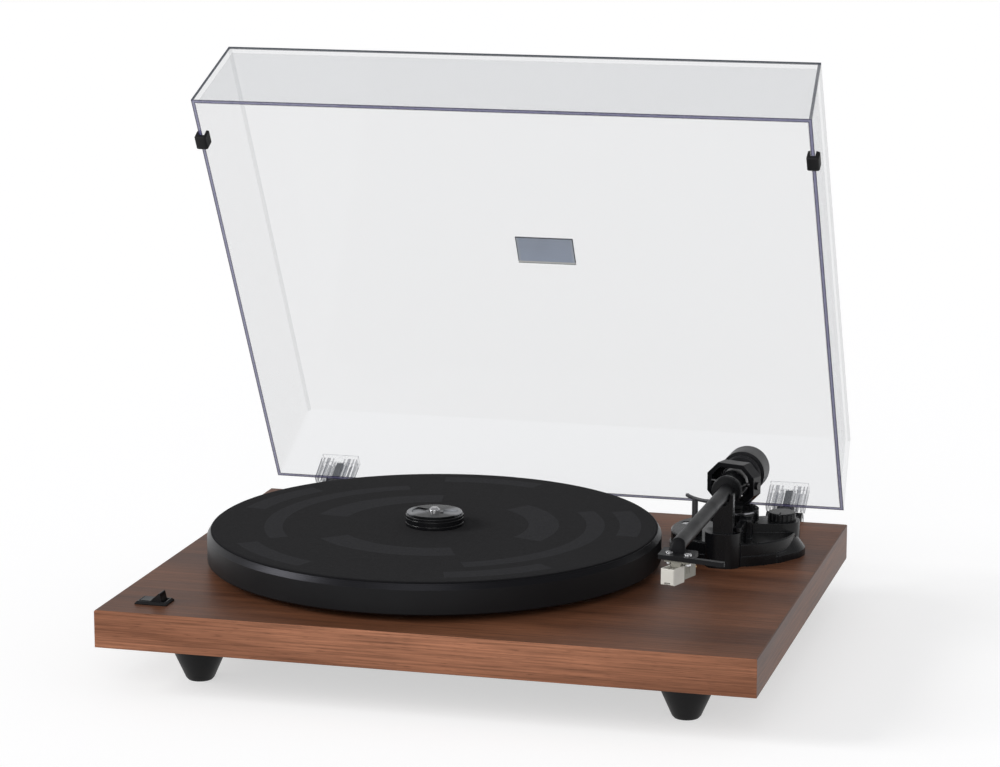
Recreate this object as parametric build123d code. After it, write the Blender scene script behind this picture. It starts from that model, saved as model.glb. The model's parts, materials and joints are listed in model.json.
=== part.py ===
from build123d import *
from math import acos, atan2, cos, degrees, hypot, radians, sin, tan
import os

# Belt-driven record player with a hinged clear dust cover, in millimetres.
# +X is to the right of the front, +Y to the back and +Z up. The origin lies on the
# surface that the feet stand on, below the centre of the plinth. It is modelled as it is
# stored: the cover open on its stop, the arm parked above its rest, the record adapter on
# the spindle.

os.makedirs("parts", exist_ok=True)

# Fits and gaps
running_fit = 0.05
slip_fit = 0.1
free_gap = 0.3

# Plinth and feet
plinth_length = 420.0
plinth_depth = 340.0
plinth_height = 24.0
plinth_skin = 5.0
plinth_edge = 0.6
foot_height = 30.0
foot_top_radius = 20.0
foot_neck_radius = 18.4
foot_neck_drop = 6.0
foot_sole_radius = 11.5
foot_sole_round = 1.6
foot_inset_x = 52.0
foot_inset_y = 48.0
foot_screw_radius = 2.0
foot_screw_head = 2.4
foot_screw_head_radius = 4.0
foot_screw_bite = 14.0
foot_recess_depth = 12.0
foot_cover_gap = 5.0
cover_depth = 290.0
cover_thickness = 2.0
cover_screw_radius = 1.5
cover_screw_head = 1.4
cover_screw_inset = 6.0
cover_screw_bite = 12.0

# Platter, its bearing and its belt drive
spindle_x = -37.5
spindle_y = 0.0
spindle_radius = 3.6
spindle_rise = 37.0
spindle_tip_round = 1.6
platter_radius = 149.5
platter_float = 4.5
platter_side_top = 20.8
platter_lip_top = 24.4
platter_lip_radius = 147.3
platter_rim_wall = 10.0
platter_web = 6.0
platter_boss_radius = 16.0
belt_rim_radius = 90.0
belt_rim_wall = 5.0
belt_rim_drop = 11.5
mat_radius = 146.7
mat_thickness = 2.0
mat_sink = 1.1
mat_hole_radius = 4.0
bearing_radius = 10.0
bearing_flange_radius = 18.0
bearing_flange = 2.0
bearing_depth = 20.0
bearing_floor = 2.0
bush_wall = 2.4
ball_radius = 2.5
hub_flange_radius = 12.0
hub_flange = 3.0
belt_thickness = 0.7
belt_width = 5.0
belt_height = 10.5
pulley_radius = 5.0
pulley_distance = 112.0
pulley_bearing = 250.0
pulley_flange = 1.2
pulley_crown_width = 6.4
motor_radius = 16.0
motor_height = 12.0
motor_shaft_radius = 1.0
motor_hole_radius = 12.0
motor_pocket_radius = 31.0
bracket_length = 54.0
bracket_width = 40.0
bracket_thickness = 1.5
grommet_radius = 5.0
grommet_thickness = 2.0
motor_screw_reach = 22.0
motor_screw_radius = 1.5
motor_screw_head = 1.8
motor_screw_head_radius = 3.0

# Forty-five adapter that sits on the mat round the spindle
adapter_radius = 19.05
adapter_height = 9.0
adapter_cap = 1.4
adapter_cap_radius = 18.3
adapter_recess = 0.7
adapter_groove = 0.8
adapter_groove_rise = 3.0
adapter_bow_inner = 3.2
adapter_bow_outer = 8.2
adapter_bow_reach = 15.2

# Power rocker
rocker_from_left = 30.0
rocker_from_front = 27.0
bezel_length = 21.0
bezel_width = 15.0
bezel_rise = 2.0
bezel_slope = 1.2
rocker_well_depth = 14.0
rocker_well_wall = 1.1
rocker_window_length = 17.0
rocker_window_width = 10.4
rocker_half_length = 7.2
rocker_end_height = 7.2
rocker_mid_height = 5.4
rocker_under = 3.0
rocker_pivot_drop = 1.0
rocker_pin_radius = 1.2
rocker_tilt = 14.0

# Rear terminals
panel_x = 60.0
panel_length = 92.0
panel_height = 18.0
panel_thickness = 1.5
panel_drop = 12.0
terminal_pocket_length = 84.0
terminal_pocket_height = 14.0
terminal_pocket_front = 118.0
jack_spacing = 14.0
jack_first = -33.0
jack_radius = 4.15
jack_bore_radius = 3.3
jack_reach = 9.0
jack_flange_radius = 6.0
jack_flange = 1.6
jack_pin_radius = 1.6
ground_x = 4.0
ground_radius = 1.9
ground_reach = 9.0
ground_nut_radius = 4.6
ground_nut_flutes = 12
ground_nut_flute_radius = 0.5
ground_nut = 5.0
output_switch_x = 19.0
output_switch_length = 12.0
output_switch_height = 6.0
output_switch_body = 8.0
output_knob = 4.0
output_knob_reach = 2.4
output_travel = 4.0
inlet_x = 37.0
inlet_radius = 2.75
inlet_pin_radius = 1.0
inlet_body = 10.0
inlet_depth = 9.0
board_length = 76.0
board_depth = 22.0
board_thickness = 1.6
board_stand = 3.0

# Dust cover and its hinges, given with the cover closed
lid_length = 413.0
lid_depth = 335.0
lid_height = 68.0
lid_wall = 3.1
lid_draft = 5.0
lid_lift = 3.0
lid_back = 168.0
lid_open_angle = 60.4
hinge_y = 176.6
hinge_drop = 1.2
hinge_from_lid_end = 41.5
hinge_width = 25.0
hinge_radius = 5.6
hinge_pin_radius = 2.0
hinge_knuckle_width = 12.0
hinge_screw_drop = 16.0
hinge_foot_drop = 20.0
hinge_foot_depth = 10.0
hinge_tongue = 2.4
socket_width = 27.0
socket_height = 23.5
socket_back = 174.6
socket_wall = 1.2
socket_rib = 1.1
socket_rib_width = 2.2
bumper_from_back = 301.3
bumper_length = 14.7
bumper_grip = 7.5
bumper_proud = 3.9
bumper_leg = 7.5
badge_length = 41.0
badge_width = 22.6
badge_thickness = 1.2
badge_from_back = 164.4
badge_x = -1.5

# Tonearm: its pivot, its line and its base
pivot_x = 147.3
pivot_y = 79.0
pivot_rise = 46.5
park_outward = 1.0
park_raise = 1.9
effective_length = 218.5
base_radius = 42.4
base_skirt_top = 6.6
base_step = 0.9
base_top = 15.0
base_edge = 0.8
pillar_half_width = 12.0
pillar_front_y = 29.8
pillar_corner = 9.0
pillar_top = 23.2
lobe_x = 172.0
lobe_y = 81.0
lobe_radius = 23.4
lobe_tip_x = 181.5
lobe_tip_y = 55.4
lobe_skirt = 4.6
lobe_shoulder = 12.0
lobe_top = 21.0
drum_small_radius = 9.0
drum_large_radius = 12.2
knob_x = 178.3
knob_y = 88.8
knob_radius = 9.4
knob_height = 5.5
knob_shaft_radius = 2.5
knob_shaft_depth = 6.0
knob_flutes = 18
knob_flute_radius = 0.7
collar_foot_radius = 13.0
collar_radius = 17.0
collar_top = 29.5
collar_trim = 1.1
collar_trim_wall = 1.8
base_screw_reach = 34.0
base_screw_radius = 2.0
base_screw_head_radius = 4.2
base_screw_head = 2.0
base_screw_bite = 10.0

# Arm rest
rest_x = 148.2
rest_y = 36.0
rest_width = 11.6
rest_depth = 6.0
rest_floor = 41.3
rest_hollow = 5.0
rest_inner_top = 42.9
rest_outer_top = 49.4
rest_outer_wall = 2.2

# Cue lift and its lever
lift_radius = 32.4
lift_bar_width = 2.4
lift_bar_height = 2.2
lift_top = 41.3
lift_first_angle = 61.0
lift_last_angle = -11.0
lift_post_angle = 41.0
lift_post_radius = 2.0
lift_post_foot = 8.0
lift_boss_radius = 5.0
lift_boss_top = 20.0
lift_travel = 4.0
lever_x = 158.2
lever_width = 4.6
lever_thickness = 2.6
lever_pivot_y = 59.0
lever_pivot_rise = 25.6
lever_front_y = 36.0
lever_front_rise = 25.1
lever_boss_radius = 3.4
lever_pin_radius = 1.4
lever_lug_width = 3.0

# Gimbal
gimbal_turn = 17.0
gimbal_width = 34.8
gimbal_height = 28.0
gimbal_corner = 8.0
gimbal_wall = 3.0
gimbal_depth = 10.0
gimbal_neck_radius = 6.0
yaw_shaft_radius = 4.0
yaw_shaft_depth = 20.0
gimbal_pin_radius = 1.6
gimbal_pin_reach = 7.6
gimbal_pin_head_radius = 2.6

# Arm tube, its bearing housing and the counterweight
housing_radius = 9.0
housing_back = -13.0
housing_front = 28.5
housing_flange_radius = 10.0
housing_flange = 4.0
tube_radius = 4.65
tube_bore_radius = 3.8
tube_seat = 12.0
tube_short = 21.5
stub_radius = 4.5
stub_end = -52.0
sleeve_radius = 7.0
sleeve_front = -34.0
sleeve_back = -48.0
weight_radius = 15.0
weight_front = -33.0
weight_back = -58.0
weight_round = 3.0
dial_radius = 13.0
dial_flutes = 24
dial_flute_radius = 0.5
dial_front = -27.0

# Headshell and cartridge, in the turned frame whose origin is the stylus point's station
head_turn = 17.0
head_plate_top = -3.4
head_plate_thickness = 2.8
head_front = -4.4
head_left = -11.9
head_right = 11.6
head_length = 21.5
head_corner = 2.0
finger_reach = 29.4
finger_width = 4.2
head_socket_radius = 5.5
head_socket_length = 11.0
cartridge_screw_line = -9.3
cartridge_screw_spacing = 12.7
cartridge_screw_radius = 1.25
cartridge_screw_head_radius = 2.4
cartridge_screw_head = 1.5
cartridge_nut = 1.4
cartridge_nut_radius = 2.05
ear_width = 17.2
ear_depth = 7.0
ear_thickness = 1.5
cartridge_width = 8.4
cartridge_back = -24.0
cartridge_bottom = -18.2
guard_width = 9.2
guard_front = 4.9
guard_back = -8.5
guard_top = -9.4
guard_bottom = -19.4
guard_wall = 1.0
guard_notch_width = 4.0
guard_notch_height = 1.6
guard_travel = 15.0
stylus_height = -18.2
cantilever_radius = 0.35
terminal_radius = 0.6
terminal_length = 4.5

# Worked-out heights and places
foot_reach_x = plinth_length / 2 - foot_inset_x
foot_reach_y = plinth_depth / 2 - foot_inset_y
cover_length = 2 * (foot_reach_x - foot_top_radius - foot_cover_gap)
rocker_x = rocker_from_left - plinth_length / 2
rocker_y = rocker_from_front - plinth_depth / 2
hinge_reach_x = lid_length / 2 - hinge_from_lid_end
tube_end = effective_length - tube_short
plinth_bottom = foot_height
plinth_top = foot_height + plinth_height
skin_under = plinth_top - plinth_skin
cover_top = plinth_bottom + cover_thickness
motor_x = spindle_x + pulley_distance * cos(radians(pulley_bearing))
motor_y = spindle_y + pulley_distance * sin(radians(pulley_bearing))
platter_floor = plinth_top + platter_lip_top - mat_sink
web_under = platter_floor - platter_web
mat_top = platter_floor + mat_thickness
hub_top = plinth_top + platter_float + hub_flange
ball_centre = plinth_top - bearing_depth + bearing_floor + ball_radius
belt_z = plinth_top + belt_height
hinge_z = plinth_top - hinge_drop
lid_rim_z = plinth_top + lid_lift
plinth_back = plinth_depth / 2
pivot = Vector(pivot_x, pivot_y, plinth_top + pivot_rise)

STANDING = (Align.CENTER, Align.CENTER, Align.MIN)
HANGING = (Align.CENTER, Align.CENTER, Align.MAX)


def disc(radius, bottom, top, x=0.0, y=0.0):
    """Upright cylinder between two heights."""
    return Pos(x, y, bottom) * Cylinder(radius, top - bottom, align=STANDING)


def block(x_span, y_span, z_span):
    """Box between two values on each axis."""
    sizes = [high - low for low, high in (x_span, y_span, z_span)]
    middles = [(high + low) / 2 for low, high in (x_span, y_span, z_span)]
    return Pos(*middles) * Box(*sizes)


def turned(points, x=0.0, y=0.0):
    """Solid turned about an upright axis from its (radius, height) outline."""
    outline = Plane.XZ * make_face(Polyline(*points, close=True))
    return Pos(x, y, 0) * revolve(outline, Axis.Z)


def hull(circle_a, circle_b):
    """Flat outline stretched round two circles, each given as x, y and radius."""
    xa, ya, ra = circle_a
    xb, yb, rb = circle_b
    run = atan2(yb - ya, xb - xa)
    lean = acos((ra - rb) / hypot(xb - xa, yb - ya))
    corners = [
        (xa + ra * cos(run + lean), ya + ra * sin(run + lean)),
        (xb + rb * cos(run + lean), yb + rb * sin(run + lean)),
        (xb + rb * cos(run - lean), yb + rb * sin(run - lean)),
        (xa + ra * cos(run - lean), ya + ra * sin(run - lean)),
    ]
    middle = make_face(Polyline(*corners, close=True))
    return Pos(xa, ya) * Circle(ra) + Pos(xb, yb) * Circle(rb) + middle


def corners_of(reach_x, reach_y):
    """The four points at plus and minus both reaches."""
    return [(sx * reach_x, sy * reach_y) for sx in (-1, 1) for sy in (-1, 1)]


def save(name, *solids):
    """Write one node as a STEP file, with each separate piece as its own solid."""
    pieces = [solid for shape in solids for solid in shape.solids()]
    export_step(pieces[0] if len(pieces) == 1 else Compound(children=pieces), f"parts/{name}.step")


def foot_places():
    return corners_of(foot_reach_x, foot_reach_y)


def cover_screw_places():
    reach_x = cover_length / 2 - cover_screw_inset
    reach_y = cover_depth / 2 - cover_screw_inset
    return corners_of(reach_x, reach_y) + [(-reach_x, 0.0), (reach_x, 0.0)]


def motor_screw_places():
    return [(motor_x - motor_screw_reach, motor_y), (motor_x + motor_screw_reach, motor_y)]


def base_screw_places():
    """Three screws round the back and left of the arm's platform."""
    angles = (100.0, 165.0, 215.0)
    return [
        (pivot_x + base_screw_reach * cos(radians(a)), pivot_y + base_screw_reach * sin(radians(a)))
        for a in angles
    ]


# Plinth, feet and bottom cover
def make_plinth():
    """Veneered slab with routed pockets that open downwards and at the back."""
    slab = block(
        (-plinth_length / 2, plinth_length / 2),
        (-plinth_back, plinth_back),
        (plinth_bottom, plinth_top),
    )
    slab = chamfer(slab.edges().group_by(Axis.Z)[-1], plinth_edge)
    slab -= block(
        (-cover_length / 2 - free_gap, cover_length / 2 + free_gap),
        (-cover_depth / 2 - free_gap, cover_depth / 2 + free_gap),
        (plinth_bottom, cover_top),
    )
    slab -= disc(bearing_radius + slip_fit, plinth_bottom, plinth_top, spindle_x, spindle_y)
    slab -= disc(motor_pocket_radius, plinth_bottom, skin_under, motor_x, motor_y)
    slab -= disc(motor_hole_radius, plinth_bottom, plinth_top, motor_x, motor_y)
    half_pocket = terminal_pocket_length / 2
    panel_middle = plinth_top - panel_drop
    slab -= block(
        (panel_x - half_pocket, panel_x + half_pocket),
        (terminal_pocket_front, cover_depth / 2),
        (plinth_bottom, skin_under),
    )
    slab -= block(
        (panel_x - half_pocket, panel_x + half_pocket),
        (terminal_pocket_front, plinth_back),
        (panel_middle - terminal_pocket_height / 2, panel_middle + terminal_pocket_height / 2),
    )
    slab -= block(
        (panel_x - panel_length / 2 - slip_fit, panel_x + panel_length / 2 + slip_fit),
        (plinth_back - panel_thickness, plinth_back),
        (
            panel_middle - panel_height / 2 - slip_fit,
            panel_middle + panel_height / 2 + slip_fit,
        ),
    )
    well_x = rocker_window_length / 2 + rocker_well_wall + slip_fit
    well_y = rocker_window_width / 2 + rocker_well_wall + slip_fit
    slab -= block(
        (rocker_x - well_x, rocker_x + well_x),
        (rocker_y - well_y, rocker_y + well_y),
        (plinth_top - rocker_well_depth - free_gap, plinth_top),
    )
    for x, y in foot_places():
        slab -= disc(foot_screw_radius + running_fit, plinth_bottom,
                     plinth_bottom + foot_screw_bite + 1, x, y)
    for x, y in cover_screw_places():
        slab -= disc(cover_screw_radius + running_fit, cover_top,
                     cover_top + cover_screw_bite + 1, x, y)
    for x, y in motor_screw_places():
        slab -= disc(motor_screw_radius + running_fit, skin_under, plinth_top - 1, x, y)
    for x, y in base_screw_places():
        slab -= disc(base_screw_radius + running_fit, plinth_top - base_screw_bite - 1,
                     plinth_top, x, y)
    for side in (-1, 1):
        for level in hinge_screw_levels():
            hole = Pos(side * hinge_reach_x, plinth_back, level) * Rot(90, 0, 0)
            slab -= hole * Cylinder(base_screw_radius + running_fit, base_screw_bite + 1,
                                    align=STANDING)
    return slab


def hinge_screw_levels():
    return [plinth_top - hinge_screw_drop]


def make_feet():
    """Four tapered feet, each with a recess from below for its screw."""
    outline = [
        (foot_screw_head_radius + 1, 0),
        (foot_sole_radius - foot_sole_round, 0),
        (foot_sole_radius, foot_sole_round),
        (foot_neck_radius, foot_height - foot_neck_drop),
        (foot_top_radius, foot_height - foot_neck_drop + 0.8),
        (foot_top_radius, foot_height),
        (foot_screw_radius + running_fit, foot_height),
        (foot_screw_radius + running_fit, foot_recess_depth),
        (foot_screw_head_radius + 1, foot_recess_depth),
    ]
    return [turned(outline, x, y) for x, y in foot_places()]


def make_foot_screws():
    """Pan-head screws up through the feet into the plinth."""
    head = foot_recess_depth
    return [
        disc(foot_screw_head_radius, head - foot_screw_head, head, x, y)
        + disc(foot_screw_radius, head, plinth_bottom + foot_screw_bite, x, y)
        for x, y in foot_places()
    ]


def make_bottom_cover():
    cover = block(
        (-cover_length / 2, cover_length / 2),
        (-cover_depth / 2, cover_depth / 2),
        (plinth_bottom, cover_top),
    )
    for x, y in cover_screw_places():
        cover -= disc(cover_screw_radius + running_fit, plinth_bottom, cover_top, x, y)
    return cover


def make_cover_screws():
    return [
        disc(cover_screw_radius * 2, plinth_bottom - cover_screw_head, plinth_bottom, x, y)
        + disc(cover_screw_radius, plinth_bottom, cover_top + cover_screw_bite, x, y)
        for x, y in cover_screw_places()
    ]


# Bearing, spindle and platter
def make_bearing_housing():
    """Flanged cup let into the plinth, with a blind bore for the bush and the ball."""
    floor = plinth_top - bearing_depth
    cup_bore = spindle_radius + bush_wall
    outline = [
        (0, floor),
        (bearing_radius, floor),
        (bearing_radius, plinth_top),
        (bearing_flange_radius, plinth_top),
        (bearing_flange_radius, plinth_top + bearing_flange),
        (cup_bore, plinth_top + bearing_flange),
        (cup_bore, floor + bearing_floor),
        (0, floor + bearing_floor),
    ]
    return turned(outline, spindle_x, spindle_y)


def make_bearing_bush():
    bottom = ball_centre + ball_radius + 0.5
    bush = disc(spindle_radius + bush_wall - 0.02, bottom, plinth_top + bearing_flange,
                spindle_x, spindle_y)
    return bush - disc(spindle_radius + running_fit, bottom, plinth_top + bearing_flange,
                       spindle_x, spindle_y)


def make_thrust_ball():
    return Pos(spindle_x, spindle_y, ball_centre) * Sphere(ball_radius)


def make_spindle():
    """Shaft that runs on the ball, with the flange that carries the platter's boss."""
    tip = plinth_top + spindle_rise
    outline = [
        (0, ball_centre + ball_radius + running_fit),
        (spindle_radius, ball_centre + ball_radius + running_fit),
        (spindle_radius, hub_top - hub_flange),
        (hub_flange_radius, hub_top - hub_flange),
        (hub_flange_radius, hub_top),
        (spindle_radius, hub_top),
        (spindle_radius, tip - spindle_tip_round),
        (spindle_radius - spindle_tip_round, tip),
        (0, tip),
    ]
    return turned(outline, spindle_x, spindle_y)


def make_platter():
    """Cast platter: heavy rim with a bright bevel, web, belt rim and boss below."""
    inner_rim = platter_radius - platter_rim_wall
    bottom = plinth_top + platter_float
    lip_inner = mat_radius + free_gap
    outline = [
        (spindle_radius + 0.02, hub_top),
        (platter_boss_radius, hub_top),
        (platter_boss_radius, web_under),
        (belt_rim_radius - belt_rim_wall, web_under),
        (belt_rim_radius - belt_rim_wall, web_under - belt_rim_drop),
        (belt_rim_radius, web_under - belt_rim_drop),
        (belt_rim_radius, web_under),
        (inner_rim, web_under),
        (inner_rim, bottom),
        (platter_radius - 0.8, bottom),
        (platter_radius, bottom + 0.8),
        (platter_radius, plinth_top + platter_side_top),
        (platter_lip_radius, plinth_top + platter_lip_top),
        (lip_inner, plinth_top + platter_lip_top),
        (lip_inner, platter_floor),
        (spindle_radius + 0.02, platter_floor),
    ]
    return turned(outline, spindle_x, spindle_y)


def make_platter_mat():
    mat = disc(mat_radius, platter_floor, mat_top, spindle_x, spindle_y)
    return mat - disc(mat_hole_radius, platter_floor, mat_top, spindle_x, spindle_y)


# Motor, pulley and belt
def make_motor_body():
    top = motor_mount_level() - bracket_thickness
    can = disc(motor_radius, top - motor_height, top, motor_x, motor_y)
    can = fillet(can.edges().group_by(Axis.Z)[0], 1.5)
    return can - disc(motor_shaft_radius + running_fit, top - motor_height + 3, top,
                      motor_x, motor_y)


def motor_mount_level():
    """Height of the bracket's upper face, under the grommets."""
    return skin_under - grommet_thickness


def make_motor_bracket():
    top = motor_mount_level()
    plate = block(
        (motor_x - bracket_length / 2, motor_x + bracket_length / 2),
        (motor_y - bracket_width / 2, motor_y + bracket_width / 2),
        (top - bracket_thickness, top),
    )
    plate = fillet(plate.edges().filter_by(Axis.Z), 8.0)
    plate -= disc(motor_shaft_radius + 3, top - bracket_thickness, top, motor_x, motor_y)
    for x, y in motor_screw_places():
        plate -= disc(motor_screw_radius + slip_fit, top - bracket_thickness, top, x, y)
    return plate


def make_motor_grommets():
    return [
        disc(grommet_radius, motor_mount_level(), skin_under, x, y)
        - disc(motor_screw_radius + slip_fit, motor_mount_level(), skin_under, x, y)
        for x, y in motor_screw_places()
    ]


def make_motor_screws():
    under = motor_mount_level() - bracket_thickness
    return [
        disc(motor_screw_head_radius, under - motor_screw_head, under, x, y)
        + disc(motor_screw_radius, under, plinth_top - 1.5, x, y)
        for x, y in motor_screw_places()
    ]


def make_motor_pulley():
    """Flanged pulley on the motor's shaft, level with the belt."""
    half = pulley_crown_width / 2
    rim = pulley_radius + pulley_flange
    outline = [
        (0, motor_mount_level() - bracket_thickness - motor_height + 4),
        (motor_shaft_radius, motor_mount_level() - bracket_thickness - motor_height + 4),
        (motor_shaft_radius, plinth_top + 1.5),
        (pulley_radius - 1, plinth_top + 1.5),
        (pulley_radius - 1, belt_z - half - 1),
        (rim, belt_z - half - 1),
        (rim, belt_z - half),
        (pulley_radius, belt_z - half),
        (pulley_radius, belt_z + half),
        (rim, belt_z + half),
        (rim, belt_z + half + 1),
        (0, belt_z + half + 1),
    ]
    return turned(outline, motor_x, motor_y)


def make_drive_belt():
    """Flat belt round the platter's inner rim and the pulley."""
    inside = hull(
        (spindle_x, spindle_y, belt_rim_radius + slip_fit),
        (motor_x, motor_y, pulley_radius + slip_fit),
    )
    outside = hull(
        (spindle_x, spindle_y, belt_rim_radius + slip_fit + belt_thickness),
        (motor_x, motor_y, pulley_radius + slip_fit + belt_thickness),
    )
    return Pos(0, 0, belt_z - belt_width / 2) * extrude(outside - inside, belt_width)


# Record adapter
def make_adapter_body():
    """Grooved puck with a shallow seat on top for its cap."""
    bottom = mat_top
    top = mat_top + adapter_height
    seat = top - adapter_cap
    groove_low = bottom + adapter_groove_rise
    outline = [
        (spindle_radius + running_fit, bottom),
        (adapter_radius - 0.6, bottom),
        (adapter_radius, bottom + 0.6),
        (adapter_radius, groove_low),
        (adapter_radius - adapter_groove, groove_low + 0.5),
        (adapter_radius - adapter_groove, groove_low + 2.0),
        (adapter_radius, groove_low + 2.5),
        (adapter_radius, seat),
        (spindle_radius + running_fit, seat),
    ]
    return turned(outline, spindle_x, spindle_y)


def make_adapter_cap():
    """Aluminium cap with a bow-tie recess across its top."""
    top = mat_top + adapter_height
    cap = disc(adapter_cap_radius, top - adapter_cap, top, spindle_x, spindle_y)
    cap = chamfer(cap.edges().group_by(Axis.Z)[-1], 0.4)
    bow = Polyline(
        (-adapter_bow_reach, -adapter_bow_outer),
        (0, -adapter_bow_inner),
        (adapter_bow_reach, -adapter_bow_outer),
        (adapter_bow_reach, adapter_bow_outer),
        (0, adapter_bow_inner),
        (-adapter_bow_reach, adapter_bow_outer),
        close=True,
    )
    ring = Circle(adapter_bow_reach)
    recess = Pos(spindle_x, spindle_y, top - adapter_recess) * extrude(
        make_face(bow) & ring, adapter_recess
    )
    bore = disc(spindle_radius + running_fit, top - adapter_cap, top, spindle_x, spindle_y)
    hub = disc(spindle_radius + 2.4, top - adapter_recess, top, spindle_x, spindle_y)
    return cap - (recess - hub) - bore


# Power rocker
def make_rocker_housing():
    """Bevelled bezel on the plinth with the open well that the rocker swings in."""
    floor = plinth_top - rocker_well_depth
    half_x = rocker_window_length / 2
    half_y = rocker_window_width / 2
    bezel = block(
        (rocker_x - bezel_length / 2, rocker_x + bezel_length / 2),
        (rocker_y - bezel_width / 2, rocker_y + bezel_width / 2),
        (plinth_top, plinth_top + bezel_rise),
    )
    bezel = chamfer(bezel.edges().group_by(Axis.Z)[-1], bezel_slope)
    well = block(
        (rocker_x - half_x - rocker_well_wall, rocker_x + half_x + rocker_well_wall),
        (rocker_y - half_y - rocker_well_wall, rocker_y + half_y + rocker_well_wall),
        (floor, plinth_top),
    )
    cavity = block(
        (rocker_x - half_x, rocker_x + half_x),
        (rocker_y - half_y, rocker_y + half_y),
        (floor + 1.5, plinth_top + bezel_rise),
    )
    pin_level = plinth_top - rocker_pivot_drop
    pin_hole = Pos(rocker_x, rocker_y, pin_level) * Rot(90, 0, 0) * Cylinder(
        rocker_pin_radius + running_fit, rocker_window_width + 2 * rocker_well_wall - 0.4
    )
    return bezel + well - cavity - pin_hole


def make_power_rocker():
    """V-topped rocker on cross pins, tilted so that its right end stands up."""
    half = rocker_half_length
    profile = Polyline(
        (-half, -rocker_under),
        (half, -rocker_under),
        (half, rocker_end_height),
        (0, rocker_mid_height),
        (-half, rocker_end_height),
        close=True,
    )
    thickness = rocker_window_width - 2 * free_gap
    body = extrude(Plane.XZ * make_face(profile), thickness / 2, both=True)
    body = fillet(body.edges().filter_by(Axis.Y).group_by(Axis.Z)[-1], 0.8)
    pins = Rot(90, 0, 0) * Cylinder(rocker_pin_radius, rocker_window_width + rocker_well_wall)
    place = Pos(rocker_x, rocker_y, plinth_top - rocker_pivot_drop)
    return place * Rot(0, -rocker_tilt, 0) * (body + pins)


# Rear terminals
def rear(x, drop, depth=0.0):
    """Place on the back panel's outer face, with the local Z axis pointing backwards."""
    return Pos(panel_x + x, plinth_back - depth, plinth_top - drop) * Rot(-90, 0, 0)


def make_rear_panel():
    panel = block(
        (panel_x - panel_length / 2, panel_x + panel_length / 2),
        (plinth_back - panel_thickness, plinth_back),
        (
            plinth_top - panel_drop - panel_height / 2,
            plinth_top - panel_drop + panel_height / 2,
        ),
    )
    deep = 2 * panel_thickness
    for index in range(2):
        hole = rear(jack_first + index * jack_spacing, panel_drop)
        panel -= hole * Cylinder(jack_bore_radius + 0.4, deep)
    panel -= rear(ground_x, panel_drop) * Cylinder(ground_radius + 0.02, deep)
    slot = Box(output_travel + output_knob + 2 * slip_fit, output_knob + 2 * slip_fit, deep)
    panel -= rear(output_switch_x, panel_drop) * slot
    panel -= rear(inlet_x, panel_drop) * Cylinder(inlet_radius, deep)
    return panel


def make_rca_jacks():
    """Two sockets: a flange on the panel, an outer shell and the centre contact."""
    jacks = []
    for index in range(2):
        body = Cylinder(jack_flange_radius, jack_flange, align=STANDING)
        body += Cylinder(jack_radius, jack_reach, align=STANDING)
        body -= Pos(0, 0, jack_flange) * Cylinder(jack_bore_radius, jack_reach, align=STANDING)
        core = Cylinder(jack_pin_radius + 0.8, jack_reach - 1.5, align=STANDING)
        core -= Pos(0, 0, jack_flange) * Cylinder(jack_pin_radius, jack_reach, align=STANDING)
        back = Cylinder(jack_bore_radius, panel_thickness + 5, align=HANGING)
        jacks.append(rear(jack_first + index * jack_spacing, panel_drop) * (body + core + back))
    return jacks


def make_ground_post():
    stem = Pos(0, 0, -panel_thickness - 4) * Cylinder(
        ground_radius, ground_reach + panel_thickness + 4, align=STANDING
    )
    collar = Pos(0, 0, -panel_thickness) * Cylinder(ground_radius + 2, 2, align=HANGING)
    return rear(ground_x, panel_drop) * (stem + collar)


def make_ground_nut():
    """Fluted thumb nut on the grounding stem."""
    nut = Pos(0, 0, 1.0) * Cylinder(ground_nut_radius, ground_nut, align=STANDING)
    for index in range(ground_nut_flutes):
        angle = radians(index * 360.0 / ground_nut_flutes)
        place = Pos(ground_nut_radius * cos(angle), ground_nut_radius * sin(angle), 0)
        nut -= place * Cylinder(ground_nut_flute_radius, ground_nut + 3, align=STANDING)
    nut -= Cylinder(ground_radius + running_fit, ground_nut + 3, align=STANDING)
    return rear(ground_x, panel_drop) * nut


def make_output_switch():
    body = Box(output_switch_length, output_switch_height, output_switch_body, align=HANGING)
    body -= Box(
        output_travel + output_knob + 2 * slip_fit, output_knob + 2 * slip_fit, 3.0, align=HANGING
    )
    return rear(output_switch_x, panel_drop, panel_thickness) * body


def make_output_knob():
    """Slide knob at the left end of its travel, seen from behind the cover's hinge side."""
    reach = panel_thickness + output_knob_reach + 2.6
    knob = Pos(-output_travel / 2, 0, -panel_thickness - 2.6) * Box(
        output_knob, output_knob, reach, align=STANDING
    )
    return rear(output_switch_x, panel_drop) * knob


def make_power_inlet():
    """Barrel socket behind the panel, with its centre pin."""
    body = Box(inlet_body, inlet_body, inlet_depth + 2, align=HANGING)
    body -= Cylinder(inlet_radius, inlet_depth, align=HANGING)
    pin = Cylinder(inlet_pin_radius, inlet_depth, align=HANGING)
    return rear(inlet_x, panel_drop, panel_thickness) * (body + pin)


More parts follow.
